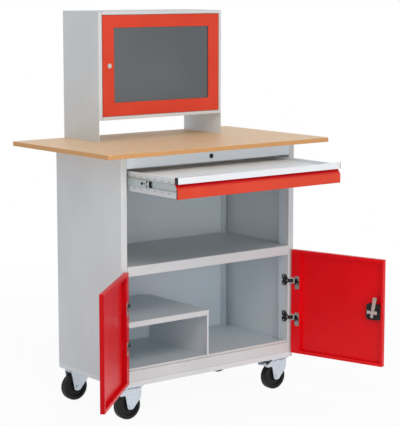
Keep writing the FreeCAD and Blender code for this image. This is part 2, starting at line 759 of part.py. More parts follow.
def hinge_plate(z):
    """Plate on the lip of the right door, closed, with two ears that hold the pin."""
    w0, w1 = DOOR_STANDOFF - PLATE_THICK, DOOR_STANDOFF
    half = PLATE_HEIGHT / 2
    slot = BARREL_HEIGHT / 2 + EAR_PLAY
    x0, x1 = HALF - PLATE_END, HALF - PLATE_START
    low, high = z - PLATE_DROP - half, z - PLATE_DROP + half
    pad = prism("y", rectangle(x0, low, x1, high, PLATE_CORNER), FRONT - w1, FRONT - w0)
    y0, y1 = FRONT - w1 - OVERCUT, FRONT - w0 + OVERCUT
    gap = block(HALF - NOTCH_LENGTH, HALF, y0, y1, z - slot, z + slot)
    plate = pad.cut(gap)
    radius = BARREL_RADIUS
    ear = hinge_outline([
        (PIVOT_INSET - radius, PIVOT_FORWARD + radius, radius * EAR_ROUND),
        (PIVOT_INSET + radius, PIVOT_FORWARD + radius, radius * EAR_ROUND),
        (PLATE_START + EAR_FOOT, w0),
        (PLATE_START, w0),
        (PIVOT_INSET - radius, PIVOT_FORWARD - radius, radius),
    ])
    for foot in (z - slot - EAR_THICK, z + slot):
        plate = plate.fuse(prism("z", ear, foot, foot + EAR_THICK))
    bore = rod(PIVOT, Z, PIN_RADIUS + RUNNING, z - half, z + half)
    return plate.cut(bore).removeSplitter()


def lock_case():
    """Recessed tray of the turn handle, closed: flange, walls and a bored floor."""
    c = lock_place()
    y_skin, y_back = DOOR_FRONT_Y, DOOR_BACK_Y + CASE_BACK
    half, rim = CASE_SIZE / 2, CASE_FLANGE / 2

    def square(size, radius):
        return rectangle(c.x - size, c.z - size, c.x + size, c.z + size, radius)

    case = prism("y", square(rim, CASE_CORNER + CASE_WALL), y_skin - CASE_PROUD, y_skin)
    case = case.fuse(prism("y", square(half, CASE_CORNER), y_skin, y_back))
    inside = square(half - CASE_WALL, CASE_CORNER - CASE_WALL)
    case = case.cut(prism("y", inside, y_skin - CASE_PROUD - OVERCUT, y_back - RECESS_FLOOR))
    bore = rod(c, Y, SPINDLE_RADIUS + RUNNING, 0, DOOR_DEPTH + CASE_BACK + OVERCUT)
    return case.cut(bore).removeSplitter()


def lock_handle():
    """Grip in the recess with the spindle that carries the cam."""
    c = lock_place()
    floor = DOOR_DEPTH + CASE_BACK - RECESS_FLOOR - FIT_GAP
    back = DOOR_DEPTH + CASE_BACK + CAM_GAP
    half, wide = GRIP_LENGTH / 2, GRIP_WIDTH / 2
    corners = rectangle(c.x - half, c.z - wide, c.x + half, c.z + wide, wide * 0.9)
    grip = prism("y", corners, c.y + floor - GRIP_RISE, c.y + floor)
    spindle = rod(c, Y, SPINDLE_RADIUS, floor - GRIP_RISE / 2, back)
    neck = rod(c, Y, SPINDLE_NECK, back - OVERCUT, back + CAM_THICK)
    return turned_in_lock(grip.fuse([spindle, neck]).removeSplitter())


def turned_in_lock(shape):
    """Piece of the right door's lock, closed, left a little way from unlocked towards locked."""
    turned = shape.copy()
    turned.rotate(lock_place(), Y, -CAM_TURN_ANGLE)
    return turned


def lock_cam():
    """Tapered cam that points up when unlocked, with the wing bar clamped on it."""
    c = lock_place()
    y0 = c.y + DOOR_DEPTH + CASE_BACK + CAM_GAP
    y1 = y0 + CAM_THICK
    wide, narrow = CAM_WIDTH / 2, CAM_TAIL_WIDTH / 2
    blade = prism("y", [
        (c.x - narrow, c.z - CAM_TAIL, CAM_ROUND),
        (c.x + narrow, c.z - CAM_TAIL, CAM_ROUND),
        (c.x + wide, c.z + CAM_REACH, CAM_ROUND),
        (c.x - wide, c.z + CAM_REACH, CAM_ROUND),
    ], y0, y1)
    blade = turned_in_lock(blade.cut(rod(c, Y, SPINDLE_NECK, y0 - c.y - OVERCUT, y1 - c.y + OVERCUT)))
    half, waist = WING_LENGTH / 2, WING_WAIST / 2
    low, high = c.z - WING_HEIGHT / 2, c.z + WING_HEIGHT / 2
    wing = prism("y", [
        (c.x - half, low, WING_ROUND),
        (c.x, c.z - waist, WING_LENGTH),
        (c.x + half, low, WING_ROUND),
        (c.x + half, high, WING_ROUND),
        (c.x, c.z + waist, WING_LENGTH),
        (c.x - half, high, WING_ROUND),
    ], y1, y1 + WING_THICK)
    return blade.fuse(wing).removeSplitter()


def cylinder_lock(face, depth, reach, direction):
    """Lock body through a panel at a face point, and its plug with a cam towards a direction."""
    body = rod(face, Y, BARREL_LOCK_RADIUS, 0, depth)
    body = body.fuse(rod(face, Y, LOCK_FLANGE_RADIUS, -LOCK_FLANGE, 0))
    body = body.cut(rod(face, Y, PLUG_RADIUS + RUNNING, -2 * LOCK_FLANGE, depth + OVERCUT))
    plug = rod(face, Y, PLUG_RADIUS, -LOCK_FLANGE, depth + PLUG_PROUD)
    length, width, deep = KEY_SLOT
    y0, y1 = -LOCK_FLANGE - OVERCUT, -LOCK_FLANGE + deep
    slot = block(-length / 2, length / 2, y0, y1, -width / 2, width / 2)
    plug = plug.cut(slot.translated(face))
    half = LOCK_CAM_WIDTH / 2
    back = depth + PLUG_PROUD
    corners = rectangle(-half, -half, reach, half, LOCK_CAM_ROUND)
    cam = prism("y", corners, back, back + LOCK_CAM_THICK)
    cam.rotate(V(0, 0, 0), Y, direction)
    return body.removeSplitter(), plug.fuse(cam.translated(face)).removeSplitter()


def housing_side(x, strip, inward, jamb):
    """Side of the monitor housing, folded in at the front and the back, with a flat leg down to the worktop."""
    path = [
        (x + inward * HOUSING_REAR_FLANGE, WORKTOP_BACK),
        (x, WORKTOP_BACK),
        (x, HOUSING_FRONT),
        (x + inward * strip, HOUSING_FRONT),
    ]
    if jamb:
        path.append((x + inward * strip, HOUSING_FRONT + PANEL_DEPTH))
    if inward < 0:
        path = path[::-1]
    side = folded("z", path, SHEET, WORKTOP_TOP, HOUSING_TOP - SHEET)
    x0, x1 = sorted((x + inward * SHEET, x + inward * (strip + HOUSING_REAR_FLANGE)))
    y0, y1 = HOUSING_FRONT - OVERCUT, WORKTOP_BACK + OVERCUT
    return side.cut(block(x0, x1, y0, y1, WORKTOP_TOP - OVERCUT, HOUSING_FLOOR))


def side_rooms(gap):
    """The room that the two sides of the housing take, for notching its floor and roof."""
    low, high = WORKTOP_TOP, HOUSING_TOP - SHEET
    before, behind = HOUSING_FRONT - OVERCUT, WORKTOP_BACK + OVERCUT
    corner = SHEET + BEND + gap
    rooms = []
    for x, strip, inward in ((HOUSING_LEFT, STRIP_LEFT, 1), (HOUSING_RIGHT, STRIP_RIGHT, -1)):
        for reach, y0, y1 in (
            (SHEET, before, behind),
            (strip + gap, before, HOUSING_FRONT + corner),
            (corner, WORKTOP_BACK - SHEET - corner, behind),
        ):
            x0, x1 = sorted((x, x + inward * reach))
            rooms.append(block(x0, x1, y0, y1, low, high))
    jamb = HOUSING_LEFT + STRIP_LEFT
    rear = HOUSING_FRONT + PANEL_DEPTH + gap
    rooms.append(block(jamb - corner, jamb + gap, before, rear, low, high))
    return rooms


def housing_tray(z, rise, strip):
    """Roof or floor of the housing, with a front strip and a rear flange."""
    path = [
        (WORKTOP_BACK - SHEET, z + rise),
        (WORKTOP_BACK - SHEET, z),
        (HOUSING_FRONT, z),
        (HOUSING_FRONT, z + math.copysign(strip, rise)),
    ]
    if rise > 0:
        path = path[::-1]
    return folded("x", path, SHEET, HOUSING_LEFT, HOUSING_RIGHT).cut(side_rooms(FIT_GAP))


def housing_floor():
    """Floor of the housing with a cable slot at its rear edge."""
    width, deep = HOUSING_CABLE_SLOT
    y1 = WORKTOP_BACK - HOUSING_REAR_FLANGE
    x0, x1 = HOUSING_OFFSET - width / 2, HOUSING_OFFSET + width / 2
    corners = rectangle(x0, y1 - deep, x1, y1, CABLE_HOLE_CORNER)
    slot = prism("z", corners, HOUSING_FLOOR - OVERCUT, HOUSING_FLOOR + 2 * SHEET)
    return housing_tray(HOUSING_FLOOR, HOUSING_REAR_FLANGE, STRIP_BOTTOM).cut(slot)


def housing_back():
    """Back sheet of the housing, between its floor and its roof."""
    y1 = WORKTOP_BACK
    x0 = HOUSING_LEFT + HOUSING_REAR_FLANGE
    x1 = HOUSING_RIGHT - HOUSING_REAR_FLANGE
    return block(x0, x1, y1 - SHEET, y1, HOUSING_FLOOR, HOUSING_TOP)


def panel_pivot():
    """Hinge line of the monitor door."""
    return V(PANEL_RIGHT - PANEL_PIVOT_INSET, HOUSING_FRONT + PANEL_PIVOT_DEPTH, 0)


def window_corners(grow):
    """Outline of the window opening, grown on all sides."""
    return rectangle(
        PANEL_LEFT + WINDOW_SIDE - grow,
        PANEL_BOTTOM + WINDOW_BOTTOM - grow,
        PANEL_RIGHT - WINDOW_SIDE + grow,
        PANEL_TOP - WINDOW_TOP + grow,
        WINDOW_CORNER,
    )


def monitor_lock_face():
    """Place of the monitor lock on the front of its door."""
    return V(PANEL_LEFT + MONITOR_LOCK_INSET, HOUSING_FRONT, (PANEL_BOTTOM + PANEL_TOP) / 2)


def monitor_door_frame():
    """Door pan with a window opening, a lock hole and two bored hinge bosses."""
    x0, x1, z0, z1 = PANEL_LEFT, PANEL_RIGHT, PANEL_BOTTOM, PANEL_TOP
    y0, y1 = HOUSING_FRONT, HOUSING_FRONT + PANEL_DEPTH
    pan = prism("y", rectangle(x0, z0, x1, z1, PANEL_CORNER), y0, y1)
    pan = pan.cut(block(x0 + SHEET, x1 - SHEET, y0 + SHEET, y1 + OVERCUT, z0 + SHEET, z1 - SHEET))
    pan = pan.cut(prism("y", window_corners(0), y0 - OVERCUT, y0 + 2 * SHEET))
    pivot = panel_pivot()
    for low in (z0, z1 - PANEL_BOSS):
        reach = PANEL_RIGHT - 2 * PANEL_PIVOT_INSET
        pan = pan.fuse(block(reach, x1, y0, y0 + 2 * PANEL_PIVOT_DEPTH, low, low + PANEL_BOSS))
    pan = pan.cut(rod(pivot, Z, PIN_RADIUS + RUNNING, z0 - OVERCUT, z1 + OVERCUT))
    pan = pan.cut(rod(monitor_lock_face(), Y, BARREL_LOCK_RADIUS, -OVERCUT, PANEL_DEPTH))
    return pan.removeSplitter()


def monitor_window():
    """Clear pane held in the gasket behind the door's skin."""
    y0 = HOUSING_FRONT + SHEET + GASKET_SKIN
    return prism("y", window_corners(PANE_OVERLAP), y0, y0 + PANE_THICK)


def window_gasket():
    """Rubber frame that grips the edge of the pane."""
    y0 = HOUSING_FRONT + SHEET
    y1 = y0 + 2 * GASKET_SKIN + PANE_THICK
    ring = prism("y", window_corners(GASKET_OUTER), y0, y1)
    ring = ring.cut(prism("y", window_corners(0), y0 - OVERCUT, y1 + OVERCUT))
    return ring.cut(monitor_window())


def monitor_hinge_pins():
    """Pins from the floor and the roof of the housing into the bosses of the door."""
    pivot = panel_pivot()
    lower = rod(pivot, Z, PIN_RADIUS, HOUSING_FLOOR + SHEET, PANEL_BOTTOM + PANEL_PIN_REACH)
    upper = rod(pivot, Z, PIN_RADIUS, PANEL_TOP - PANEL_PIN_REACH, HOUSING_TOP - SHEET)
    return group([lower, upper])


def castor_places():
    """Swivel axes of the four castors."""
    x, y = HALF - CASTOR_INSET_X, BACK - CASTOR_INSET_Y
    return [(-x, -y), (x, -y), (-x, y), (x, y)]


def plate_bolts():
    """Bolt axes of one castor plate, from its swivel axis."""
    sx, sy = BOLT_SPACING[0] / 2, BOLT_SPACING[1] / 2
    return [(dx, dy) for dx in (-sx, sx) for dy in (-sy, sy)]


def bolt_places():
    """Bolt axes of all castor plates."""
    return [(x + dx, y + dy) for x, y in castor_places() for dx, dy in plate_bolts()]


def castor_plate():
    """Top plate with the upper ball race and the riveted kingpin."""
    length, width, _ = TOP_PLATE
    corners = rectangle(-length / 2, -width / 2, length / 2, width / 2, TOP_PLATE_CORNER)
    plate = prism("z", corners, PLATE_BOTTOM, CASTOR_HEIGHT)
    rise = PLATE_BOTTOM - RACE_SPLIT
    race = Part.makeCone(RACE_RADIUS - RACE_TAPER, RACE_RADIUS, rise, V(0, 0, RACE_SPLIT))
    head_top = FORK_CROWN_Z - RACE_GAP
    pin = rod(V(0, 0, 0), Z, KINGPIN_RADIUS, head_top - KINGPIN_HEAD, RACE_SPLIT + OVERCUT)
    head = rod(V(0, 0, 0), Z, KINGPIN_HEAD_RADIUS, head_top - KINGPIN_HEAD, head_top)
    plate = plate.fuse([race, pin, head])
    low, high = PLATE_BOTTOM - OVERCUT, CASTOR_HEIGHT + OVERCUT
    holes = [rod(V(x, y, 0), Z, BOLT_HOLE_RADIUS, low, high) for x, y in plate_bolts()]
    return plate.cut(holes).removeSplitter()


def castor_bolt():
    """Bolt with its head under the castor plate and its nut on the gusset of the base frame."""
    seat = CASTOR_HEIGHT + BASE_SHEET
    shank = rod(V(0, 0, 0), Z, BOLT_RADIUS, PLATE_BOTTOM - OVERCUT, seat + BOLT_HEAD + BOLT_PROUD)
    head = hexagon(V(0, 0, 0), Z, BOLT_HEAD_ACROSS, PLATE_BOTTOM - BOLT_HEAD, PLATE_BOTTOM)
    nut = hexagon(V(0, 0, 0), Z, BOLT_HEAD_ACROSS, seat, seat + BOLT_HEAD)
    return shank.fuse([head, nut]).removeSplitter()


def fork_inside():
    """Distance from the wheel's middle plane to the inside of a fork leg."""
    return HUB_WIDTH / 2 + FORK_SIDE_GAP


def brake_pivot():
    """Pivot of the brake pedal, over the wheel on the side that trails."""
    return WHEEL_CENTRE + V(-BRAKE_ARM, 0, BRAKE_RISE)


def castor_fork(braked):
    """Pressed fork: crown with the lower ball race, two legs, and a hood for the pedal of a brake."""
    inside = fork_inside()
    outside = inside + FORK_SHEET
    z0, z1 = FORK_CROWN_Z, FORK_CROWN_Z + FORK_CROWN_THICK
    crown = rectangle(-FORK_CROWN_REAR, -outside, FORK_CROWN_FRONT, outside, FORK_EDGE)
    dish = Part.makeCone(RACE_RADIUS, RACE_RADIUS - RACE_TAPER, RACE_SPLIT - RACE_GAP - z1, V(0, 0, z1))
    disc = rod(V(0, 0, 0), Z, RACE_RADIUS, z0, z1)
    fork = prism("z", crown, z0, z1).fuse([dish, disc])
    foot = FORK_FOOT_RADIUS
    c = WHEEL_CENTRE
    leg = [
        (-FORK_CROWN_REAR, z1),
        (c.x - foot, c.z - foot, foot * NEAR_ROUND),
        (c.x + foot, c.z - foot, foot * NEAR_ROUND),
        (FORK_SHOULDER[0], FORK_SHOULDER[1], FORK_SHOULDER_ROUND),
        (FORK_CROWN_FRONT, z1),
    ]
    p = brake_pivot()
    tip = p.x - HOOD_REACH
    hood = [
        (c.x, p.z - HOOD_DROP),
        (c.x, z1),
        (-FORK_CROWN_REAR, z1),
        (tip, p.z + HOOD_TIP / 2, HOOD_TIP_ROUND),
        (tip, p.z - HOOD_TIP / 2, HOOD_TIP_ROUND),
    ]
    for y0 in (-outside, inside):
        fork = fork.fuse(prism("y", leg, y0, y0 + FORK_SHEET))
        if braked:
            fork = fork.fuse(prism("y", hood, y0, y0 + FORK_SHEET))
    fork = fork.cut(rod(V(0, 0, 0), Z, KINGPIN_RADIUS + RUNNING, z0 - OVERCUT, RACE_SPLIT))
    fork = fork.cut(rod(c, Y, AXLE_RADIUS + RUNNING, -HUB_WIDTH, HUB_WIDTH))
    if braked:
        fork = fork.cut(rod(p, Y, BRAKE_PIN_RADIUS + RUNNING, -HUB_WIDTH, HUB_WIDTH))
    return fork.removeSplitter()


def castor_axle():
    """Axle bolt with its head and nut outside the fork legs."""
    outside = fork_inside() + FORK_SHEET
    axle = rod(WHEEL_CENTRE, Y, AXLE_RADIUS, -outside - OVERCUT, outside + AXLE_HEAD + BOLT_PROUD)
    head = hexagon(WHEEL_CENTRE, Y, AXLE_HEAD_ACROSS, -outside - AXLE_HEAD, -outside)
    nut = hexagon(WHEEL_CENTRE, Y, AXLE_HEAD_ACROSS, outside, outside + AXLE_HEAD)
    return axle.fuse([head, nut]).removeSplitter()


def castor_wheel():
    """Wheel turned from its half section: rounded tread, recessed rim and a longer hub."""
    half, hub = WHEEL_WIDTH / 2, HUB_WIDTH / 2
    web = half - RIM_RECESS
    bore = AXLE_RADIUS + RUNNING
    section = [
        (-hub, bore),
        (hub, bore),
        (hub, HUB_RADIUS),
        (web, HUB_RADIUS + RIM_SLOPE),
        (web, RIM_RADIUS - RIM_SLOPE),
        (half, RIM_RADIUS),
        (half, WHEEL_RADIUS, TREAD_ROUND),
        (-half, WHEEL_RADIUS, TREAD_ROUND),
        (-half, RIM_RADIUS),
        (-web, RIM_RADIUS - RIM_SLOPE),
        (-web, HUB_RADIUS + RIM_SLOPE),
        (-hub, HUB_RADIUS),
    ]
    face = Part.Face(outline("x", section, 0))
    wheel = face.revolve(V(0, 0, 0), Y, 360)
    return wheel.translated(WHEEL_CENTRE)


def brake_pedal():
    """Pedal hinged inside the hood of the fork, with its shoe over the tread."""
    p = brake_pivot()
    inside = fork_inside() - BRAKE_SIDE_GAP
    thick = BRAKE_PEDAL_THICK
    tip, start = p.x - BRAKE_PEDAL_REACH, p.x - BRAKE_PAD_START
    top, end = p.z + BRAKE_PEDAL_LIFT, p.z + BRAKE_PEDAL_LIFT - BRAKE_PEDAL_FALL
    lever = [
        (p.x, p.z + thick / 2),
        (start, top + thick, BRAKE_BOSS),
        (tip, end + thick, BRAKE_PEDAL_EDGE),
        (tip, end, BRAKE_PEDAL_EDGE),
        (start, top, BRAKE_BOSS),
        (p.x, p.z - thick / 2),
    ]
    wide = BRAKE_PEDAL_WIDTH / 2
    pad = rectangle(tip, -wide, start - BRAKE_BOSS, wide, BRAKE_BOSS)
    shank = rectangle(start - 2 * BRAKE_BOSS, -inside, p.x, inside)
    low, high = p.z - thick, top + 2 * thick
    plan = prism("z", pad, low, high).fuse(prism("z", shank, low, high))
    pedal = prism("y", lever, -wide, wide).common(plan)
    pedal = pedal.fuse(rod(p, Y, BRAKE_BOSS, -inside, inside))
    pin = rod(p, Y, BRAKE_PIN_RADIUS, -fork_inside() - FORK_SHEET, fork_inside() + FORK_SHEET)
    reach = (WHEEL_CENTRE - p).Length - WHEEL_RADIUS - BRAKE_PRESSED_GAP
    half = SHOE_WIDTH / 2
    shoe = prism("y", rectangle(0, -half, reach, half, SHOE_ROUND), -WHEEL_WIDTH / 2, WHEEL_WIDTH / 2)
    shoe.rotate(V(0, 0, 0), Y, math.degrees(math.atan2(BRAKE_RISE, BRAKE_ARM)) + BRAKE_TRAVEL)
    return pedal.fuse([pin, shoe.translated(p)]).removeSplitter()


def opened(shape, angle):
    """Right door piece swung open about its hinge pin."""
    turned = shape.copy()
    turned.rotate(PIVOT, Z, angle)
    return turned


def drawn_out(shape):
    """Drawer piece moved from its closed place to where it stands."""
    return shape.translated(V(0, -DRAWER_OUT, 0))


def build():
    """All nodes by name."""
    nodes = {
        "base_frame": base_frame(),
        "bottom_panel": bottom_panel(),
        "side_panel_left": side_panel(),
        "side_panel_right": mirrored(side_panel()),
        "back_panel": back_panel(),
        "top_rail": top_rail(),
        "worktop": worktop(),
        "middle_shelf": middle_shelf(),
        "half_shelf": half_shelf(),
        "partition": partition(),
        "shelf_brackets": shelf_brackets(),
    }

    outer, middle, inner, cage = slide_members()
    for name, member in (("outer", outer), ("middle", middle), ("inner", inner)):
        nodes[f"slide_{name}_left"] = member
        nodes[f"slide_{name}_right"] = mirrored(member)
    nodes["slide_ball_cages"] = group([cage, mirrored(cage)])

    nodes["drawer_tray"] = drawn_out(drawer_tray())
    nodes["drawer_front"] = drawn_out(drawer_front())
    nodes["drawer_handle"] = drawn_out(drawer_handle())
    nodes["handle_end_caps"] = drawn_out(handle_end_caps())

    arms = [hinge_arm(z) for z in HINGE_HEIGHTS]
    pins = [hinge_pin(z) for z in HINGE_HEIGHTS]
    plates = [hinge_plate(z) for z in HINGE_HEIGHTS]
    nodes["hinge_arms"] = group(arms + [mirrored(s) for s in arms])
    nodes["hinge_pins"] = group(pins + [mirrored(s) for s in pins])
    nodes["right_door_panel"] = opened(door_panel(True), RIGHT_DOOR_ANGLE)
    nodes["right_hinge_plates"] = group(opened(s, RIGHT_DOOR_ANGLE) for s in plates)
    nodes["door_lock_case"] = opened(lock_case(), RIGHT_DOOR_ANGLE)
    nodes["door_lock_handle"] = opened(lock_handle(), RIGHT_DOOR_ANGLE)
    nodes["door_lock_cam"] = opened(lock_cam(), RIGHT_DOOR_ANGLE)
    nodes["left_door_panel"] = mirrored(opened(door_panel(False), LEFT_DOOR_ANGLE))
    nodes["left_hinge_plates"] = group(mirrored(opened(s, LEFT_DOOR_ANGLE)) for s in plates)

    rail_face = V(0, FRONT, RAIL_BOTTOM + RAIL_LOCK_RISE)
    body, plug = cylinder_lock(rail_face, RAIL_LOCK_DEPTH, RAIL_CAM_REACH, 0)
    nodes["rail_lock_body"], nodes["rail_lock_cylinder"] = body, plug

    nodes["housing_side_left"] = housing_side(HOUSING_LEFT, STRIP_LEFT, 1, True)
    nodes["housing_side_right"] = housing_side(HOUSING_RIGHT, STRIP_RIGHT, -1, False)
    nodes["housing_roof"] = housing_tray(HOUSING_TOP, -HOUSING_REAR_FLANGE, STRIP_TOP)
    nodes["housing_floor"] = housing_floor()
    nodes["housing_back"] = housing_back()
    nodes["monitor_hinge_pins"] = monitor_hinge_pins()
    nodes["monitor_door_frame"] = monitor_door_frame()
    nodes["monitor_window"] = monitor_window()
    nodes["window_gasket"] = window_gasket()
    body, plug = cylinder_lock(monitor_lock_face(), MONITOR_LOCK_DEPTH, MONITOR_CAM_REACH, 90)
    nodes["monitor_lock_body"], nodes["monitor_lock_cylinder"] = body, plug

    places = [V(x, y, 0) for x, y in castor_places()]
    plate = castor_plate()
    bolt = castor_bolt()
    nodes["castor_plates"] = group(plate.translated(p) for p in places)
    nodes["castor_bolts"] = group(bolt.translated(V(x, y, 0)) for x, y in bolt_places())
    for corner, place in zip(("fl", "fr", "rl", "rr"), places):
        braked = corner.startswith("f")
        nodes[f"castor_fork_{corner}"] = castor_fork(braked).translated(place)
        nodes[f"castor_axle_{corner}"] = castor_axle().translated(place)
        nodes[f"castor_wheel_{corner}"] = castor_wheel().translated(place)
        if braked:
            nodes[f"castor_brake_{corner}"] = brake_pedal().translated(place)
    return nodes


os.makedirs("parts", exist_ok=True)
for node, shape in build().items():
    shape.exportStep(f"parts/{node}.step")
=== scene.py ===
"""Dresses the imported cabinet.

Gives its sheet steel, board, pane and castors their finishes, adds small fittings,
and sets up the studio and the camera.
"""
import json
import math

import bmesh
import bpy
from mathutils import Matrix, Vector


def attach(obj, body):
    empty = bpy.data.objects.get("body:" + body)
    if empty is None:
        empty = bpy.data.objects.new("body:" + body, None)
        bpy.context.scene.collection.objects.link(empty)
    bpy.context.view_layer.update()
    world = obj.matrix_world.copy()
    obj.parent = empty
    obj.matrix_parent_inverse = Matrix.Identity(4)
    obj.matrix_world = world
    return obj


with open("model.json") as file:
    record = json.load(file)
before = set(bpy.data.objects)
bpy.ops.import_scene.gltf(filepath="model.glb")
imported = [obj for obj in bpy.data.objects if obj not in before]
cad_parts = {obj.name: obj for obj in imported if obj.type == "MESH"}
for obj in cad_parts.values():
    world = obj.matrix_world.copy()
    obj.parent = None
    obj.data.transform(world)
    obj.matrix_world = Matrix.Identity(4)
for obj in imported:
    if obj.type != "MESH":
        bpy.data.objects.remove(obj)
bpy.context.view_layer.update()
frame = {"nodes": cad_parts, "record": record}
scene = bpy.context.scene

# Places taken over from the part, in metres.
DOOR_PIVOT = Vector((0.492, -0.271, 0.0))
RIGHT_DOOR_ANGLE = 105.6
LEFT_DOOR_ANGLE = 137.4
HINGE_HEIGHTS = (0.5265, 0.3495)
ARM_FACE_X = 0.466
LOBE_SCREW_Y = -0.2275
LOBE_SCREW_RISE = 0.0195
NECK_SCREW_Y = -0.2535
PLATE_FACE_Y = -0.2562
PLATE_X = 0.466
SLIDE_Z = 1.0755
INNER_WEB_X = 0.4572
MIDDLE_WEB_X = 0.4675
BACK_Y = 0.255
CABLE_HOLE = (0.255, 0.260, 0.345, 0.320)
HANDLE_KINK_Z = 1.070
BOARD_LOW = 1.185
BOARD_THICK = 0.021
BOARD_PLIES = 15
HOUSING_OFFSET = 0.006
HOUSING_HALF = 0.357
LEG_TOP = 1.304
TRAY_HALF = 0.456
DECK_Z = 1.105

# Where painted light and shade on a piece start and end.
INNER_SIDE = (0.4994, 0.4988)
INNER_FRONT = (-0.2400, -0.2300)
INNER_BACK = (0.2546, 0.2538)
INNER_LOW = (0.150, 0.185)
SKIN_NEAR, SKIN_FAR = 0.0003, 0.0009
LEG_FADE = 0.004
STRIP_SHADE = 0.012
DRAWER_ONLY = (1.25, 1.20)

# Sizes of the fittings. A head is its radius and height.
HEAD_SIDES = 18
HEAD_WALL = 0.5
HEAD_STEPS = ((0.14, 0.32), (0.22, 0.18), (0.14, 0.0), (0.04, -0.55))
ARM_SCREW = (0.0042, 0.0022)
PLATE_SCREW = (0.0033, 0.0004)
STOP_BUTTON = (0.0052, 0.0002)
BACK_SCREW = (0.0048, 0.0026)
CLIP_THICK, CLIP_CORNER = 0.0005, 0.0014
CLIP_OUTLINE = (
    (0.4555, -0.0170), (0.4785, -0.0170), (0.4785, -0.0088),
    (0.4628, -0.0088), (0.4628, 0.0025), (0.4555, 0.0025),
)
PLATE_SCREWS = ((-0.0129, CLIP_THICK), (0.0160, 0.0), (-0.0300, 0.0))
# Dark sheet inside each hinge notch, put there as painted shade.
NOTCH_SHADE_Y, NOTCH_SHADE_THICK, NOTCH_SHADE_CORNER = -0.27645, 0.00025, 0.004
NOTCH_SHADE_OUTLINE = ((0.4535, -0.0190), (0.4965, -0.0190), (0.4965, 0.0190), (0.4535, 0.0190))
KNUCKLE_RADIUS, KNUCKLE_HALF, KNUCKLE_WALL = 0.0049, 0.0105, 0.0003
KNUCKLE_TAPER = 0.92
KNUCKLE_STEPS = 24
LEVER_Y = -0.4106
LEVER_LIFT = 0.0022
LEVER_STRETCH = (1.0, 0.80, 1.12, 1.0)
LEVER_CORE = (0.0044, 0.0056, 0.0056, 1.0)
LEVER_ARM = 0.0125
LEVER_ROUND = 0.0008
SHARP_FOLD = 0.9
STOP_Y = -0.3980
STOP_RISE = 0.0088
EDGING_RINGS = ((0.005, 0.017), (-0.002, 0.010))
EDGING_LIFT, EDGING_THICK = 0.0002, 0.0025
BACK_SCREW_X = 0.4525
BACK_SCREW_HEIGHTS = (0.215, 0.525, 0.835, 1.145)
SILL_LOW = Vector((-0.4685, -0.2425, 0.2247))
SILL_HIGH = Vector((0.4685, -0.2375, 0.2345))
SILL_ROUND = 0.0012
MERGE = 1e-6

# Studio and camera.
WHITE = (1.0, 1.0, 1.0, 1.0)
FLOOR_SHADE = (0.82, 0.86, 0.90, 1.0)
FLOOR_RADIUS, FLOOR_SIDES = 40.0, 96
FLOOR_FADE = (1.2, 4.0)
FLOOR_WHITE = 0.94
SKY_SHADE = (0.58, 0.62, 0.66, 1.0)
LAMP_SIZE = 2.4
LAMPS = (
    ("key_lamp", (-2.0, -5.0, 5.4), (0.0, 0.0, 0.9), 0.24, (1.0, 0.92, 0.82)),
    ("front_fill", (-0.6, -6.5, 0.9), (0.0, 0.0, 1.0), 0.20, (0.95, 0.98, 1.0)),
    ("left_fill", (-5.2, -4.4, 1.2), (0.0, 0.0, 1.1), 0.12, (1.0, 0.97, 0.94)),
)
CAMERA_PLACE = (-4.3822, -5.7115, 1.9227)
CAMERA_YAW, CAMERA_PITCH = math.radians(38.351), math.radians(8.373)
CAMERA_LENS, CAMERA_SENSOR = 131.78, 36.0


def colour(red, green, blue):
    """Linear colour of a swatch whose display values are given from 0 to 255."""
    channels = [v / 255 for v in (red, green, blue)]
    return tuple(((c + 0.055) / 1.055) ** 2.4 if c > 0.04 else c / 12.92 for c in channels) + (1.0,)


class Value:
    """An output socket with the operators of plain numbers."""

    def __init__(self, recipe, socket):
        self.recipe = recipe
        self.socket = socket

    def math(self, operation, first, second):
        return self.recipe.node("Math", {"operation": operation}, {0: first, 1: second})

    def __add__(self, other):
        return self.math("ADD", self, other)

    def __radd__(self, other):
        return self.math("ADD", other, self)

    def __sub__(self, other):
        return self.math("SUBTRACT", self, other)

    def __rsub__(self, other):
        return self.math("SUBTRACT", other, self)

    def __mul__(self, other):
        return self.math("MULTIPLY", self, other)

    def __rmul__(self, other):
        return self.math("MULTIPLY", other, self)

    def __mod__(self, other):
        return self.math("FLOORED_MODULO", self, other)

    def __abs__(self):
        return self.math("ABSOLUTE", self, 0.0)

    def __or__(self, other):
        return self.math("MAXIMUM", self, other)


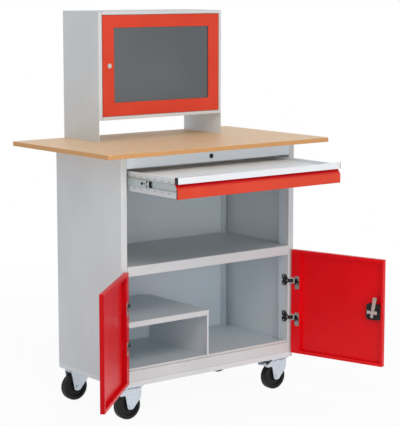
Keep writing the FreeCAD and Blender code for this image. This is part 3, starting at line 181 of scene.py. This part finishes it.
class Recipe:
    """A node tree that is filled by one method."""

    def __init__(self, tree):
        self.tree = tree
        tree.nodes.clear()

    def node(self, kind, settings=None, sockets=None, output=0):
        """Adds a node, its settings first and then the values or links of its sockets, and gives one output."""
        node = self.tree.nodes.new("ShaderNode" + kind)
        for name, value in (settings or {}).items():
            setattr(node, name, value)
        for name, value in (sockets or {}).items():
            if isinstance(value, Value):
                self.tree.links.new(value.socket, node.inputs[name])
            else:
                node.inputs[name].default_value = value
        return Value(self, node.outputs[output]) if len(node.outputs) else node

    def place(self):
        """Where a point is on the cabinet, in metres."""
        return self.node("TexCoord", output="Object")

    def axis(self, name, vector=None):
        """One coordinate of a vector, or of the place."""
        return self.node("SeparateXYZ", None, {0: vector or self.place()}, output=name)

    def stretched(self, x, y, z):
        """The place with each axis scaled."""
        return self.node("Mapping", None, {"Vector": self.place(), "Scale": (x, y, z)})

    def noise(self, scale, detail=2.0, rough=0.5, vector=None):
        """Soft random value about one half."""
        sockets = {"Vector": vector or self.place(), "Scale": scale, "Detail": detail, "Roughness": rough}
        return self.node("TexNoise", None, sockets)

    def cells(self, scale):
        """Crystal-like cells."""
        return self.node("TexVoronoi", None, {"Vector": self.place(), "Scale": scale}, output="Distance")

    def between(self, value, low, high):
        """Value spread smoothly from nought at low to one at high."""
        sockets = {"Value": value, "From Min": low, "From Max": high, "To Min": 0.0, "To Max": 1.0}
        return self.node("MapRange", {"interpolation_type": "SMOOTHSTEP"}, sockets)

    def mix(self, factor, first, second):
        """Mixes two colours."""
        return self.node("Mix", {"data_type": "RGBA"}, {0: factor, 6: first, 7: second}, output=2)

    def drift(self, first, second, scale=3.0):
        """Two colours that pass slowly into each other."""
        return self.mix(self.between(self.noise(scale, 3), 0.35, 0.65), first, second)

    def facing(self, name):
        """How far a face looks along one axis, from -1 to 1."""
        return self.axis(name, self.node("TexCoord", output="Normal"))

    def edges(self, radius):
        """One on the folds and cut edges of a piece, nought on its flats."""
        rounding = self.node("Bevel", {"samples": 4}, {"Radius": radius})
        flat = self.node("NewGeometry", output="Normal")
        level = self.node("VectorMath", {"operation": "DOT_PRODUCT"}, {0: rounding, 1: flat}, output="Value")
        return self.between(level, 0.99, 0.80)

    def bump(self, height, depth, strength):
        """Surface relief of a given depth in metres."""
        return self.node("Bump", None, {"Height": height, "Distance": depth, "Strength": strength})


def finish(make):
    """A procedural material named for make, whose sockets come from make(recipe)."""
    material = bpy.data.materials.new(make.__name__)
    material.use_nodes = True
    recipe = Recipe(material.node_tree)
    shader = recipe.node("BsdfPrincipled", None, make(recipe))
    recipe.node("OutputMaterial", None, {"Surface": shader})
    return material


def grey_coat(r, body):
    """Light grey powder coat over a body colour: fine flecks, a faint orange peel, edges rubbed paler."""
    tone = r.mix(r.between(r.noise(900.0, 2), 0.55, 0.75) * 0.25, body, colour(192, 193, 195))
    tone = r.mix(r.edges(0.0014) * 0.30, tone, colour(228, 228, 228))
    return {
        "Base Color": tone,
        "Roughness": 0.36 + 0.16 * r.noise(11.0, 4, 0.6),
        "Specular IOR Level": 0.45,
        "Normal": r.bump(r.noise(380.0, 3), 0.00012, 0.35),
    }


def daylight_grey(r):
    """Grey with a slow drift of tone."""
    return r.drift(colour(204, 203, 202), colour(210, 209, 208))


def grey_powder_coat(r):
    """Grey of the pieces that stand in the light."""
    return grey_coat(r, daylight_grey(r))


def base_frame_painted_light_coat(r):
    """Grey of the base frame, painted a little lighter as painted light for the light its face catches."""
    return grey_coat(r, r.drift(colour(213, 213, 214), colour(219, 219, 220)))


def rail_coat_painted_shade(r):
    """Grey of the rail under the worktop, painted cooler and paler as painted cool shade and soft light under
    the worktop.
    """
    return grey_coat(r, r.drift(colour(216, 227, 237), colour(221, 231, 240)))


def carcass_coat_painted_shade(r):
    """Grey of the carcass, with painted cool shade making the faces inside it cooler."""
    across = r.between(abs(r.axis("X")), *INNER_SIDE)
    behind = r.between(r.axis("Y"), *INNER_FRONT)
    before = r.between(r.axis("Y"), *INNER_BACK)
    above = r.between(r.axis("Z"), *INNER_LOW)
    # Faces inside the carcass are painted cooler, as painted cool shade.
    return grey_coat(r, r.mix(across * behind * before * above, daylight_grey(r), colour(206, 214, 219)))


def housing_coat_painted_leg_light(r):
    """Grey of the housing sides, with painted light and cool shade making the inner faces of the legs paler and
    cooler.
    """
    below = r.between(r.axis("Z"), LEG_TOP, LEG_TOP - LEG_FADE)
    across = abs(r.axis("X") - HOUSING_OFFSET)
    painted_inner_mask = below * r.between(across, HOUSING_HALF - SKIN_NEAR, HOUSING_HALF - SKIN_FAR)
    # Inner faces of the legs are painted paler and cooler, as painted light and cool shade.
    return grey_coat(r, r.mix(painted_inner_mask, daylight_grey(r), colour(230, 237, 243)))


def tray_coat_painted_light_shade(r):
    """Grey of the drawer tray, with painted light making the deck and the inside of its rim pale, and painted
    shade making the sheet under the deck dark.
    """
    painted_inner_mask = r.between(abs(r.axis("X")), TRAY_HALF - SKIN_NEAR, TRAY_HALF - SKIN_FAR)
    above = r.between(r.axis("Z"), DECK_Z - SKIN_FAR, DECK_Z - SKIN_NEAR)
    # Painted shade darkens the sheet under the deck; painted light makes the deck pale.
    inner = r.mix(above, colour(88, 92, 96), colour(240, 244, 248))
    return grey_coat(r, r.mix(painted_inner_mask, daylight_grey(r), inner))


def red_coat(r, deep, light, fleck, edge):
    """Glossy red powder coat: soft orange peel, slight drift of tone, edges paler where the coat is thin."""
    tone = r.drift(deep, light, 4.0)
    tone = r.mix(r.between(r.noise(1100.0, 2), 0.55, 0.78) * 0.2, tone, fleck)
    tone = r.mix(r.edges(0.0014) * 0.14, tone, edge)
    return {
        "Base Color": tone,
        "Roughness": 0.26 + 0.12 * r.noise(9.0, 4, 0.6),
        "Specular IOR Level": 0.22,
        "Normal": r.bump(r.noise(320.0, 3), 0.00014, 0.4),
    }


def deep_red_coat(r):
    """Red of the doors."""
    return red_coat(r, colour(222, 6, 18), colour(228, 12, 22), colour(196, 4, 14), colour(236, 70, 58))


def left_door_red_painted_shade(r):
    """Red of the left door, less glossy, with painted shade deepening its free edge."""
    angle = math.radians(LEFT_DOOR_ANGLE)
    along = r.facing("X") * math.cos(angle) - r.facing("Y") * math.sin(angle)
    # Painted shade deepens the faces along the free edge.
    edge = r.between(along, 0.80, 0.95)
    deep = r.mix(edge, colour(222, 6, 18), colour(184, 4, 14))
    light = r.mix(edge, colour(228, 12, 22), colour(190, 8, 18))
    coat = red_coat(r, deep, light, colour(190, 4, 14), colour(230, 60, 50))
    return {**coat, "Specular IOR Level": 0.1}


def front_red_coat_painted_light(r):
    """Red of the upper fronts, painted lighter and more orange as painted warm light on their fronts, with
    painted shade keeping it deep red under the drawer's handle strip.
    """
    height = r.axis("Z")
    # Painted shade of the handle strip: the band just above the kink, on the drawer front only.
    strip_painted_shade = r.between(height, HANDLE_KINK_Z, HANDLE_KINK_Z + STRIP_SHADE)
    strip_painted_shade = strip_painted_shade * r.between(height, *DRAWER_ONLY)
    # Painted warm light makes the fronts orange; the strip's painted shade keeps the band deep red.
    deep = r.mix(strip_painted_shade, colour(208, 60, 35), colour(196, 14, 20))
    light = r.mix(strip_painted_shade, colour(214, 66, 41), colour(204, 20, 24))
    return red_coat(r, deep, light, colour(192, 46, 26), colour(234, 110, 84))


def beech_multiplex(r):
    """Beech multiplex: a pale veneer with short flecks on the faces and brown layered plies along the edges."""
    figure = r.noise(2.2, 5, 0.62, r.stretched(1.6, 26.0, 26.0))
    rays = r.noise(1.0, 2, 0.5, r.stretched(75.0, 950.0, 950.0))
    pores = r.noise(1.0, 3, 0.6, r.stretched(24.0, 1500.0, 1500.0))
    face = r.mix(r.between(figure, 0.30, 0.70), colour(240, 206, 166), colour(230, 190, 147))
    face = r.mix(r.between(rays, 0.56, 0.72) * 0.34, face, colour(208, 162, 114))
    face = r.mix(r.between(pores, 0.60, 0.80) * 0.26, face, colour(196, 148, 104))
    layer = (r.axis("Z") - BOARD_LOW) * (BOARD_PLIES / BOARD_THICK)
    cross = r.between(abs((layer % 2.0) - 1.0), 0.38, 0.62)
    fibre = r.noise(1.0, 3, 0.6, r.stretched(420.0, 420.0, 60.0))
    glue = r.between(abs((layer % 1.0) - 0.5), 0.42, 0.49)
    ply = r.mix(cross, colour(224, 172, 112), colour(188, 126, 70))
    ply = r.mix(r.between(fibre, 0.50, 0.75) * 0.5, ply, colour(158, 98, 50))
    ply = r.mix(glue * 0.35, ply, colour(120, 74, 38))
    flat = r.between(abs(r.facing("Z")), 0.55, 0.85)
    tone = r.mix(flat, ply, face)
    tone = r.mix(r.edges(0.0016) * 0.25, tone, colour(150, 100, 58))
    relief = pores * 0.6 + fibre * (1 - flat)
    return {
        "Base Color": tone,
        "Roughness": 0.38 + 0.18 * figure,
        "Specular IOR Level": 0.4,
        "Normal": r.bump(relief, 0.00015, 0.35),
    }


def zinc_coat(r, dull, bright, mark):
    """Galvanised sheet: faint spangle, roll marks, edges polished by handling."""
    marks = r.noise(1.0, 3, 0.6, r.stretched(40.0, 40.0, 700.0))
    tone = r.mix(r.between(r.cells(160.0), 0.2, 0.8), dull, bright)
    tone = r.mix(r.between(marks, 0.5, 0.8) * 0.35, tone, mark)
    tone = r.mix(r.edges(0.0012) * 0.5, tone, colour(236, 238, 240))
    return {
        "Base Color": tone,
        "Metallic": 0.8,
        "Roughness": 0.32 + 0.18 * marks,
        "Normal": r.bump(marks, 0.0001, 0.3),
    }


def bright_zinc(r):
    """Zinc of the castors."""
    return zinc_coat(r, colour(190, 198, 207), colour(208, 215, 223), colour(160, 169, 180))


def rolled_zinc(r):
    """Zinc of the drawer slides, greyer from rolling."""
    return zinc_coat(r, colour(164, 172, 173), colour(178, 186, 187), colour(142, 150, 152))


def anodised_strip(r):
    """Satin anodised extrusion with fine die lines along its length."""
    lines = r.noise(1.0, 2, 0.5, r.stretched(3.0, 1800.0, 1800.0))
    tone = r.mix(r.between(lines, 0.35, 0.7), colour(236, 237, 239), colour(222, 224, 227))
    tone = r.mix(r.edges(0.0012) * 0.4, tone, colour(248, 248, 248))
    return {
        "Base Color": tone,
        "Metallic": 0.55,
        "Roughness": 0.30 + 0.12 * r.noise(14.0, 3),
        "Normal": r.bump(lines, 0.00006, 0.3),
    }


def nickel_plate(r):
    """Nickel plating with a soft brushed sheen and a warm tint."""
    brush = r.noise(1.0, 3, 0.6, r.stretched(900.0, 900.0, 60.0))
    stain = r.noise(60.0, 3)
    tone = r.mix(r.between(brush, 0.35, 0.7), colour(206, 203, 196), colour(186, 183, 175))
    tone = r.mix(r.between(stain, 0.55, 0.75) * 0.3, tone, colour(158, 153, 144))
    tone = r.mix(r.edges(0.0008) * 0.5, tone, colour(236, 234, 228))
    return {
        "Base Color": tone,
        "Metallic": 0.9,
        "Roughness": 0.22 + 0.16 * stain,
        "Normal": r.bump(brush, 0.00005, 0.25),
    }


def burnished_hinge(r):
    """Dark burnished hinge steel, rubbed grey along its edges."""
    blot = r.noise(70.0, 4, 0.6)
    tone = r.mix(r.between(blot, 0.35, 0.7), colour(34, 32, 30), colour(52, 50, 47))
    tone = r.mix(r.edges(0.0009) * 0.5, tone, colour(108, 105, 100))
    return {
        "Base Color": tone,
        "Metallic": 0.35,
        "Roughness": 0.34 + 0.2 * blot,
        "Normal": r.bump(r.noise(600.0, 3), 0.00008, 0.4),
    }


def black_moulding(r):
    """Black moulded plastic with a fine spark-eroded grain."""
    haze = r.noise(30.0, 3)
    tone = r.mix(r.between(haze, 0.3, 0.7), colour(13, 13, 14), colour(22, 22, 23))
    tone = r.mix(r.edges(0.0008) * 0.3, tone, colour(62, 62, 64))
    return {
        "Base Color": tone,
        "Roughness": 0.40 + 0.15 * haze,
        "Specular IOR Level": 0.3,
        "Normal": r.bump(r.cells(1500.0), 0.00008, 0.4),
    }


def black_gasket(r):
    """Soft black rubber, dusty and matt."""
    dust = r.noise(45.0, 4, 0.6)
    return {
        "Base Color": r.mix(r.between(dust, 0.4, 0.75), colour(26, 26, 27), colour(48, 48, 49)),
        "Roughness": 0.70 + 0.15 * dust,
        "Normal": r.bump(r.noise(700.0, 2), 0.0001, 0.4),
    }


def wheel_rubber(r):
    """Black wheel: moulded rim and solid tyre, greyed by floor dust and fine scuffs."""
    dust = r.noise(38.0, 4, 0.6)
    scuff = r.noise(1.0, 4, 0.65, r.stretched(220.0, 40.0, 220.0))
    tone = r.mix(r.between(dust, 0.35, 0.75), colour(9, 9, 10), colour(17, 17, 18))
    tone = r.mix(r.between(scuff, 0.58, 0.80) * 0.3, tone, colour(46, 46, 48))
    tone = r.mix(r.edges(0.0016) * 0.25, tone, colour(58, 58, 61))
    return {
        "Base Color": tone,
        "Roughness": 0.42 + 0.22 * dust,
        "Specular IOR Level": 0.25,
        "Normal": r.bump(scuff, 0.0002, 0.3),
    }


def tinted_pane(r):
    """Clear pane with a grey tint, unevenly wiped, with a trace of dust."""
    wiped = r.noise(3.0, 3, 0.5)
    dust = r.noise(260.0, 4, 0.6)
    streak = r.between(wiped, 0.3, 0.7)
    return {
        "Base Color": r.mix(streak, colour(100, 106, 110), colour(108, 114, 117)),
        "Roughness": 0.04 + 0.05 * wiped + 0.06 * dust,
        "Alpha": 0.48 + 0.03 * streak + 0.02 * r.between(dust, 0.5, 0.75),
        "Specular IOR Level": 0.5,
    }


HANDS = ("left", "right")
FINISHES = {slot: finish(make) for slot, make in (
    ("grey_paint", grey_powder_coat),
    ("red_paint", deep_red_coat),
    ("multiplex", beech_multiplex),
    ("zinc", bright_zinc),
    ("strip_metal", anodised_strip),
    ("nickel", nickel_plate),
    ("dark_hinge", burnished_hinge),
    ("black_plastic", black_moulding),
    ("black_rubber", black_gasket),
    ("wheel_black", wheel_rubber),
    ("pane", tinted_pane),
)}
CARCASS_NODES = (
    "bottom_panel", "side_panel_left", "side_panel_right", "back_panel",
    "middle_shelf", "half_shelf", "partition", "shelf_brackets",
)
NODE_FINISHES = {}
for make, nodes in (
    (front_red_coat_painted_light, ("drawer_front", "monitor_door_frame")),
    (carcass_coat_painted_shade, CARCASS_NODES),
    (rail_coat_painted_shade, ("top_rail",)),
    (base_frame_painted_light_coat, ("base_frame",)),
    (tray_coat_painted_light_shade, ("drawer_tray",)),
    (left_door_red_painted_shade, ("left_door_panel",)),
    (housing_coat_painted_leg_light, [f"housing_side_{hand}" for hand in HANDS]),
    (rolled_zinc, [f"slide_{member}_{hand}" for member in ("outer", "middle", "inner") for hand in HANDS]),
):
    NODE_FINISHES.update(dict.fromkeys(nodes, finish(make)))
for subpart in frame["record"]["subparts"]:
    painted = frame["nodes"][subpart["node"]].data.materials
    painted.clear()
    painted.append(NODE_FINISHES.get(subpart["node"], FINISHES[subpart["material_slot"]]))


def put(name, data):
    """Adds an object to the scene."""
    made = bpy.data.objects.new(name, data)
    scene.collection.objects.link(made)
    return made


def as_mesh(name, mesh, material):
    """Turns a bmesh into a mesh with one material."""
    data = bpy.data.meshes.new(name)
    mesh.to_mesh(data)
    mesh.free()
    data.materials.append(material)
    return data


def close_up(mesh):
    """Merges doubles and turns all faces outwards."""
    bmesh.ops.remove_doubles(mesh, verts=mesh.verts, dist=MERGE)
    bmesh.ops.recalc_face_normals(mesh, faces=mesh.faces)


def piece(name, mesh, body, slot):
    """Turns a bmesh into a finished piece that rides a body."""
    close_up(mesh)
    made = put(name, as_mesh(name, mesh, FINISHES[slot]))
    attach(made, body)


def rounded(mesh, geom, radius, affect, segments):
    """Rounds the given edges or corners."""
    bmesh.ops.bevel(mesh, geom=geom, offset=radius, offset_type="OFFSET", affect=affect, segments=segments,
                    profile=0.5, material=-1)


def towards(place, direction):
    """Matrix that sets a fitting's +Z along a direction at a place."""
    turn = Vector(direction).to_track_quat("Z", "Y").to_matrix().to_4x4()
    return Matrix.Translation(place) @ turn


def swung(side):
    """Matrix that carries a place on a closed door, right for 1 and left for -1, to where it stands at rest."""
    angle = math.radians(RIGHT_DOOR_ANGLE if side > 0 else -LEFT_DOOR_ANGLE)
    pivot = Vector((side * DOOR_PIVOT.x, DOOR_PIVOT.y, 0.0))
    return Matrix.Translation(pivot) @ Matrix.Rotation(angle, 4, "Z") @ Matrix.Translation(-pivot)


def pan_head(mesh, stand, radius, height):
    """Screw head with a rounded crown and a socket."""
    disc = bmesh.ops.create_circle(mesh, cap_ends=True, segments=HEAD_SIDES, radius=radius, matrix=stand)
    top = disc["verts"][0].link_faces[0]
    up = stand.to_3x3() @ Vector((0.0, 0.0, 1.0))
    grown = bmesh.ops.extrude_face_region(mesh, geom=[top])["geom"]
    top = next(part for part in grown if isinstance(part, bmesh.types.BMFace))
    bmesh.ops.translate(mesh, verts=top.verts, vec=up * height * HEAD_WALL)
    for width, rise in HEAD_STEPS:
        bmesh.ops.inset_individual(mesh, faces=[top], thickness=radius * width)
        bmesh.ops.translate(mesh, verts=top.verts, vec=up * height * rise)


def hinge_screws():
    """Three screws in each hinge arm on the front posts."""
    mesh = bmesh.new()
    for side in (-1, 1):
        for z in HINGE_HEIGHTS:
            lobes = [(LOBE_SCREW_Y, z + LOBE_SCREW_RISE), (LOBE_SCREW_Y, z - LOBE_SCREW_RISE)]
            for y, height in lobes + [(NECK_SCREW_Y, z)]:
                pan_head(mesh, towards((side * ARM_FACE_X, y, height), (-side, 0, 0)), *ARM_SCREW)
    piece("hinge_screws", mesh, "cabinet", "nickel")


def rounded_plate(mesh, outline, y, carry, thick, corner):
    """Plate with rounded corners: an outline of (x, z) at y, thickened along +Y, carried to its place."""
    others = set(mesh.faces)
    rim = [mesh.verts.new(carry @ Vector((x, y, z))) for x, z in outline]
    mesh.faces.new(rim)
    rounded(mesh, rim, corner, "VERTICES", 4)
    flat = [face for face in mesh.faces if face not in others]
    grown = bmesh.ops.extrude_face_region(mesh, geom=flat)["geom"]
    bmesh.ops.translate(mesh, verts=[part for part in grown if isinstance(part, bmesh.types.BMVert)],
                        vec=carry.to_3x3() @ Vector((0.0, thick, 0.0)))


def hinge_clips(side, body):
    """Dark clip on each hinge plate of a door, the plate's flat screws, and a dark sheet of painted shade in
    its notch.
    """
    clips, screws, shade_sheets = bmesh.new(), bmesh.new(), bmesh.new()
    carry = swung(side)
    for z in HINGE_HEIGHTS:
        clip = [(side * x, z + rise) for x, rise in CLIP_OUTLINE]
        shade_sheet = [(side * x, z + rise) for x, rise in NOTCH_SHADE_OUTLINE]
        rounded_plate(clips, clip, PLATE_FACE_Y, carry, CLIP_THICK, CLIP_CORNER)
        rounded_plate(shade_sheets, shade_sheet, NOTCH_SHADE_Y, carry, NOTCH_SHADE_THICK, NOTCH_SHADE_CORNER)
        for rise, lift in PLATE_SCREWS:
            seat = carry @ towards((side * PLATE_X, PLATE_FACE_Y + lift, z + rise), (0, 1, 0))
            pan_head(screws, seat, *PLATE_SCREW)
    piece(body + "_hinge_clips", clips, body, "dark_hinge")
    piece(body + "_plate_screws", screws, body, "nickel")
    piece(body + "_notch_painted_shades", shade_sheets, body, "black_plastic")


def hinge_knuckles():
    """Bright sleeve round the barrel of each hinge arm."""
    mesh = bmesh.new()
    out, up = Vector((KNUCKLE_RADIUS, 0.0, 0.0)), Vector((0.0, 0.0, KNUCKLE_HALF))
    outline = (
        out * KNUCKLE_TAPER - up, out - up * KNUCKLE_TAPER,
        out + up * KNUCKLE_TAPER, out * KNUCKLE_TAPER + up,
    )
    for side in (-1, 1):
        for z in HINGE_HEIGHTS:
            centre = Vector((side * DOOR_PIVOT.x, DOOR_PIVOT.y, z))
            profile = [mesh.verts.new(centre + point) for point in outline]
            edges = [mesh.edges.new(pair) for pair in zip(profile, profile[1:])]
            bmesh.ops.spin(mesh, geom=profile + edges, cent=centre, axis=(0, 0, 1), dvec=(0, 0, 0),
                           angle=math.tau, steps=KNUCKLE_STEPS, use_merge=True, use_duplicate=False)
    close_up(mesh)
    bmesh.ops.solidify(mesh, geom=mesh.faces[:], thickness=KNUCKLE_WALL)
    piece("hinge_knuckles", mesh, "cabinet", "nickel")


def release_levers():
    """Crossed release lever in the channel of each slide member on the drawer."""
    mesh = bmesh.new()
    for side in (-1, 1):
        centre = Vector((side * (INNER_WEB_X + LEVER_LIFT), LEVER_Y, SLIDE_Z))
        stand = Matrix.Translation(centre) @ Matrix.Diagonal(LEVER_STRETCH)
        stand = stand @ Matrix.Rotation(math.radians(45), 4, "X") @ Matrix.Diagonal(LEVER_CORE)
        core = bmesh.ops.create_cube(mesh, size=1.0, matrix=stand)["verts"]
        faces = {f for v in core for f in v.link_faces}
        for face in [f for f in faces if abs(f.normal.x) < 0.5]:
            out = face.calc_center_median() - centre
            arm = bmesh.ops.extrude_discrete_faces(mesh, faces=[face])["faces"][0]
            bmesh.ops.translate(mesh, verts=arm.verts, vec=out.normalized() * LEVER_ARM)
    bmesh.ops.recalc_face_normals(mesh, faces=mesh.faces)
    rims = [e for e in mesh.edges if len(e.link_faces) == 2 and e.calc_face_angle() > SHARP_FOLD]
    rounded(mesh, rims, LEVER_ROUND, "EDGES", 2)
    piece("slide_release_levers", mesh, "drawer", "black_plastic")


def stop_buttons():
    """Two flush stop buttons near the front end of each middle slide member."""
    mesh = bmesh.new()
    for side in (-1, 1):
        for rise in (-STOP_RISE, STOP_RISE):
            stand = towards((side * MIDDLE_WEB_X, STOP_Y, SLIDE_Z + rise), (side, 0, 0))
            pan_head(mesh, stand, *STOP_BUTTON)
    piece("slide_stop_buttons", mesh, "slide_middles", "black_plastic")


def cable_edging():
    """Rubber edging round the cable opening in the back."""
    mesh = bmesh.new()
    x0, z0, x1, z1 = CABLE_HOLE
    for grow, radius in EDGING_RINGS:
        left, low, right, high = x0 - grow, z0 - grow, x1 + grow, z1 + grow
        corners = [(left, low), (right, low), (right, high), (left, high)]
        ring = [mesh.verts.new((x, BACK_Y + EDGING_LIFT, z)) for x, z in corners]
        for pair in zip(ring, ring[1:] + ring[:1]):
            mesh.edges.new(pair)
        rounded(mesh, ring, radius, "VERTICES", 6)
    walls = bmesh.ops.bridge_loops(mesh, edges=list(mesh.edges))["faces"]
    bmesh.ops.recalc_face_normals(mesh, faces=walls)
    bmesh.ops.solidify(mesh, geom=mesh.faces[:], thickness=-EDGING_THICK)
    piece("cable_opening_edging", mesh, "cabinet", "black_rubber")


def back_screws():
    """Pan-head screws down both sides of the back panel."""
    mesh = bmesh.new()
    for side in (-1, 1):
        for z in BACK_SCREW_HEIGHTS:
            pan_head(mesh, towards((side * BACK_SCREW_X, BACK_Y, z), (0, 1, 0)), *BACK_SCREW)
    piece("back_panel_screws", mesh, "cabinet", "zinc")


def sill_strip():
    """Sill strip along the front of the floor, between the posts, its top edges rounded."""
    mesh = bmesh.new()
    size = SILL_HIGH - SILL_LOW
    stand = Matrix.Translation((SILL_LOW + SILL_HIGH) / 2) @ Matrix.Diagonal((*size, 1.0))
    bmesh.ops.create_cube(mesh, size=1.0, matrix=stand)
    rims = [e for e in mesh.edges if all(v.co.z > SILL_LOW.z + size.z / 2 for v in e.verts)]
    rounded(mesh, rims, SILL_ROUND, "EDGES", 4)
    piece("sill_strip", mesh, "cabinet", "grey_paint")


hinge_screws()
hinge_clips(1, "right_door")
hinge_clips(-1, "left_door")
hinge_knuckles()
release_levers()
stop_buttons()
cable_edging()
back_screws()
sill_strip()


def seen_directly(r):
    """One for a look from the camera, a mirror or through glass, nought for the light that falls on things."""
    camera_ray, mirrored, through = (
        r.node("LightPath", output=name) for name in ("Is Camera Ray", "Is Glossy Ray", "Is Transmission Ray"))
    return camera_ray | mirrored | through


def studio_floor():
    """White floor that keeps a soft shadow."""
    material = bpy.data.materials.new("studio_floor")
    material.use_nodes = True
    r = Recipe(material.node_tree)
    reach = r.node("VectorMath", {"operation": "LENGTH"}, {0: r.place()}, output="Value")
    share = seen_directly(r) * (FLOOR_WHITE + (1 - FLOOR_WHITE) * r.between(reach, *FLOOR_FADE))
    matt = r.node("BsdfDiffuse", None, {"Color": FLOOR_SHADE})
    white = r.node("Emission", None, {"Color": WHITE, "Strength": 1.0})
    blend = r.node("MixShader", None, {0: share, 1: matt, 2: white})
    r.node("OutputMaterial", None, {"Surface": blend})
    mesh = bmesh.new()
    bmesh.ops.create_circle(mesh, cap_ends=True, segments=FLOOR_SIDES, radius=FLOOR_RADIUS)
    floor = put("studio_floor", as_mesh("studio_floor", mesh, material))


def studio_light():
    """An even cool sky and three soft lamps."""
    sky = bpy.data.worlds.new("studio_sky")
    scene.world = sky
    sky.use_nodes = True
    r = Recipe(sky.node_tree)
    shade = r.mix(seen_directly(r), SKY_SHADE, WHITE)
    light = r.node("Background", None, {"Color": shade, "Strength": 1.0})
    r.node("OutputWorld", None, {"Surface": light})
    for name, place, aim, level, tint in LAMPS:
        reach = Vector(aim) - Vector(place)
        lamp = bpy.data.lights.new(name, "AREA")
        lamp.shape = "SQUARE"
        lamp.size = LAMP_SIZE
        lamp.color = tint
        lamp.energy = level * math.pi ** 2 * reach.length_squared
        holder = put(name, lamp)
        holder.location = place
        holder.rotation_euler = reach.to_track_quat("-Z", "Y").to_euler()


def photo_camera():
    """Camera at the photograph's place."""
    look = Vector((
        math.sin(CAMERA_YAW) * math.cos(CAMERA_PITCH),
        math.cos(CAMERA_YAW) * math.cos(CAMERA_PITCH),
        -math.sin(CAMERA_PITCH),
    ))
    data = bpy.data.cameras.new("photo_camera")
    data.lens = CAMERA_LENS
    data.sensor_width = CAMERA_SENSOR
    camera = put("photo_camera", data)
    camera.location = CAMERA_PLACE
    camera.rotation_euler = look.to_track_quat("-Z", "Y").to_euler()
    bpy.context.scene.camera = camera


studio_floor()
studio_light()
photo_camera()
scene.view_settings.view_transform = "Standard"
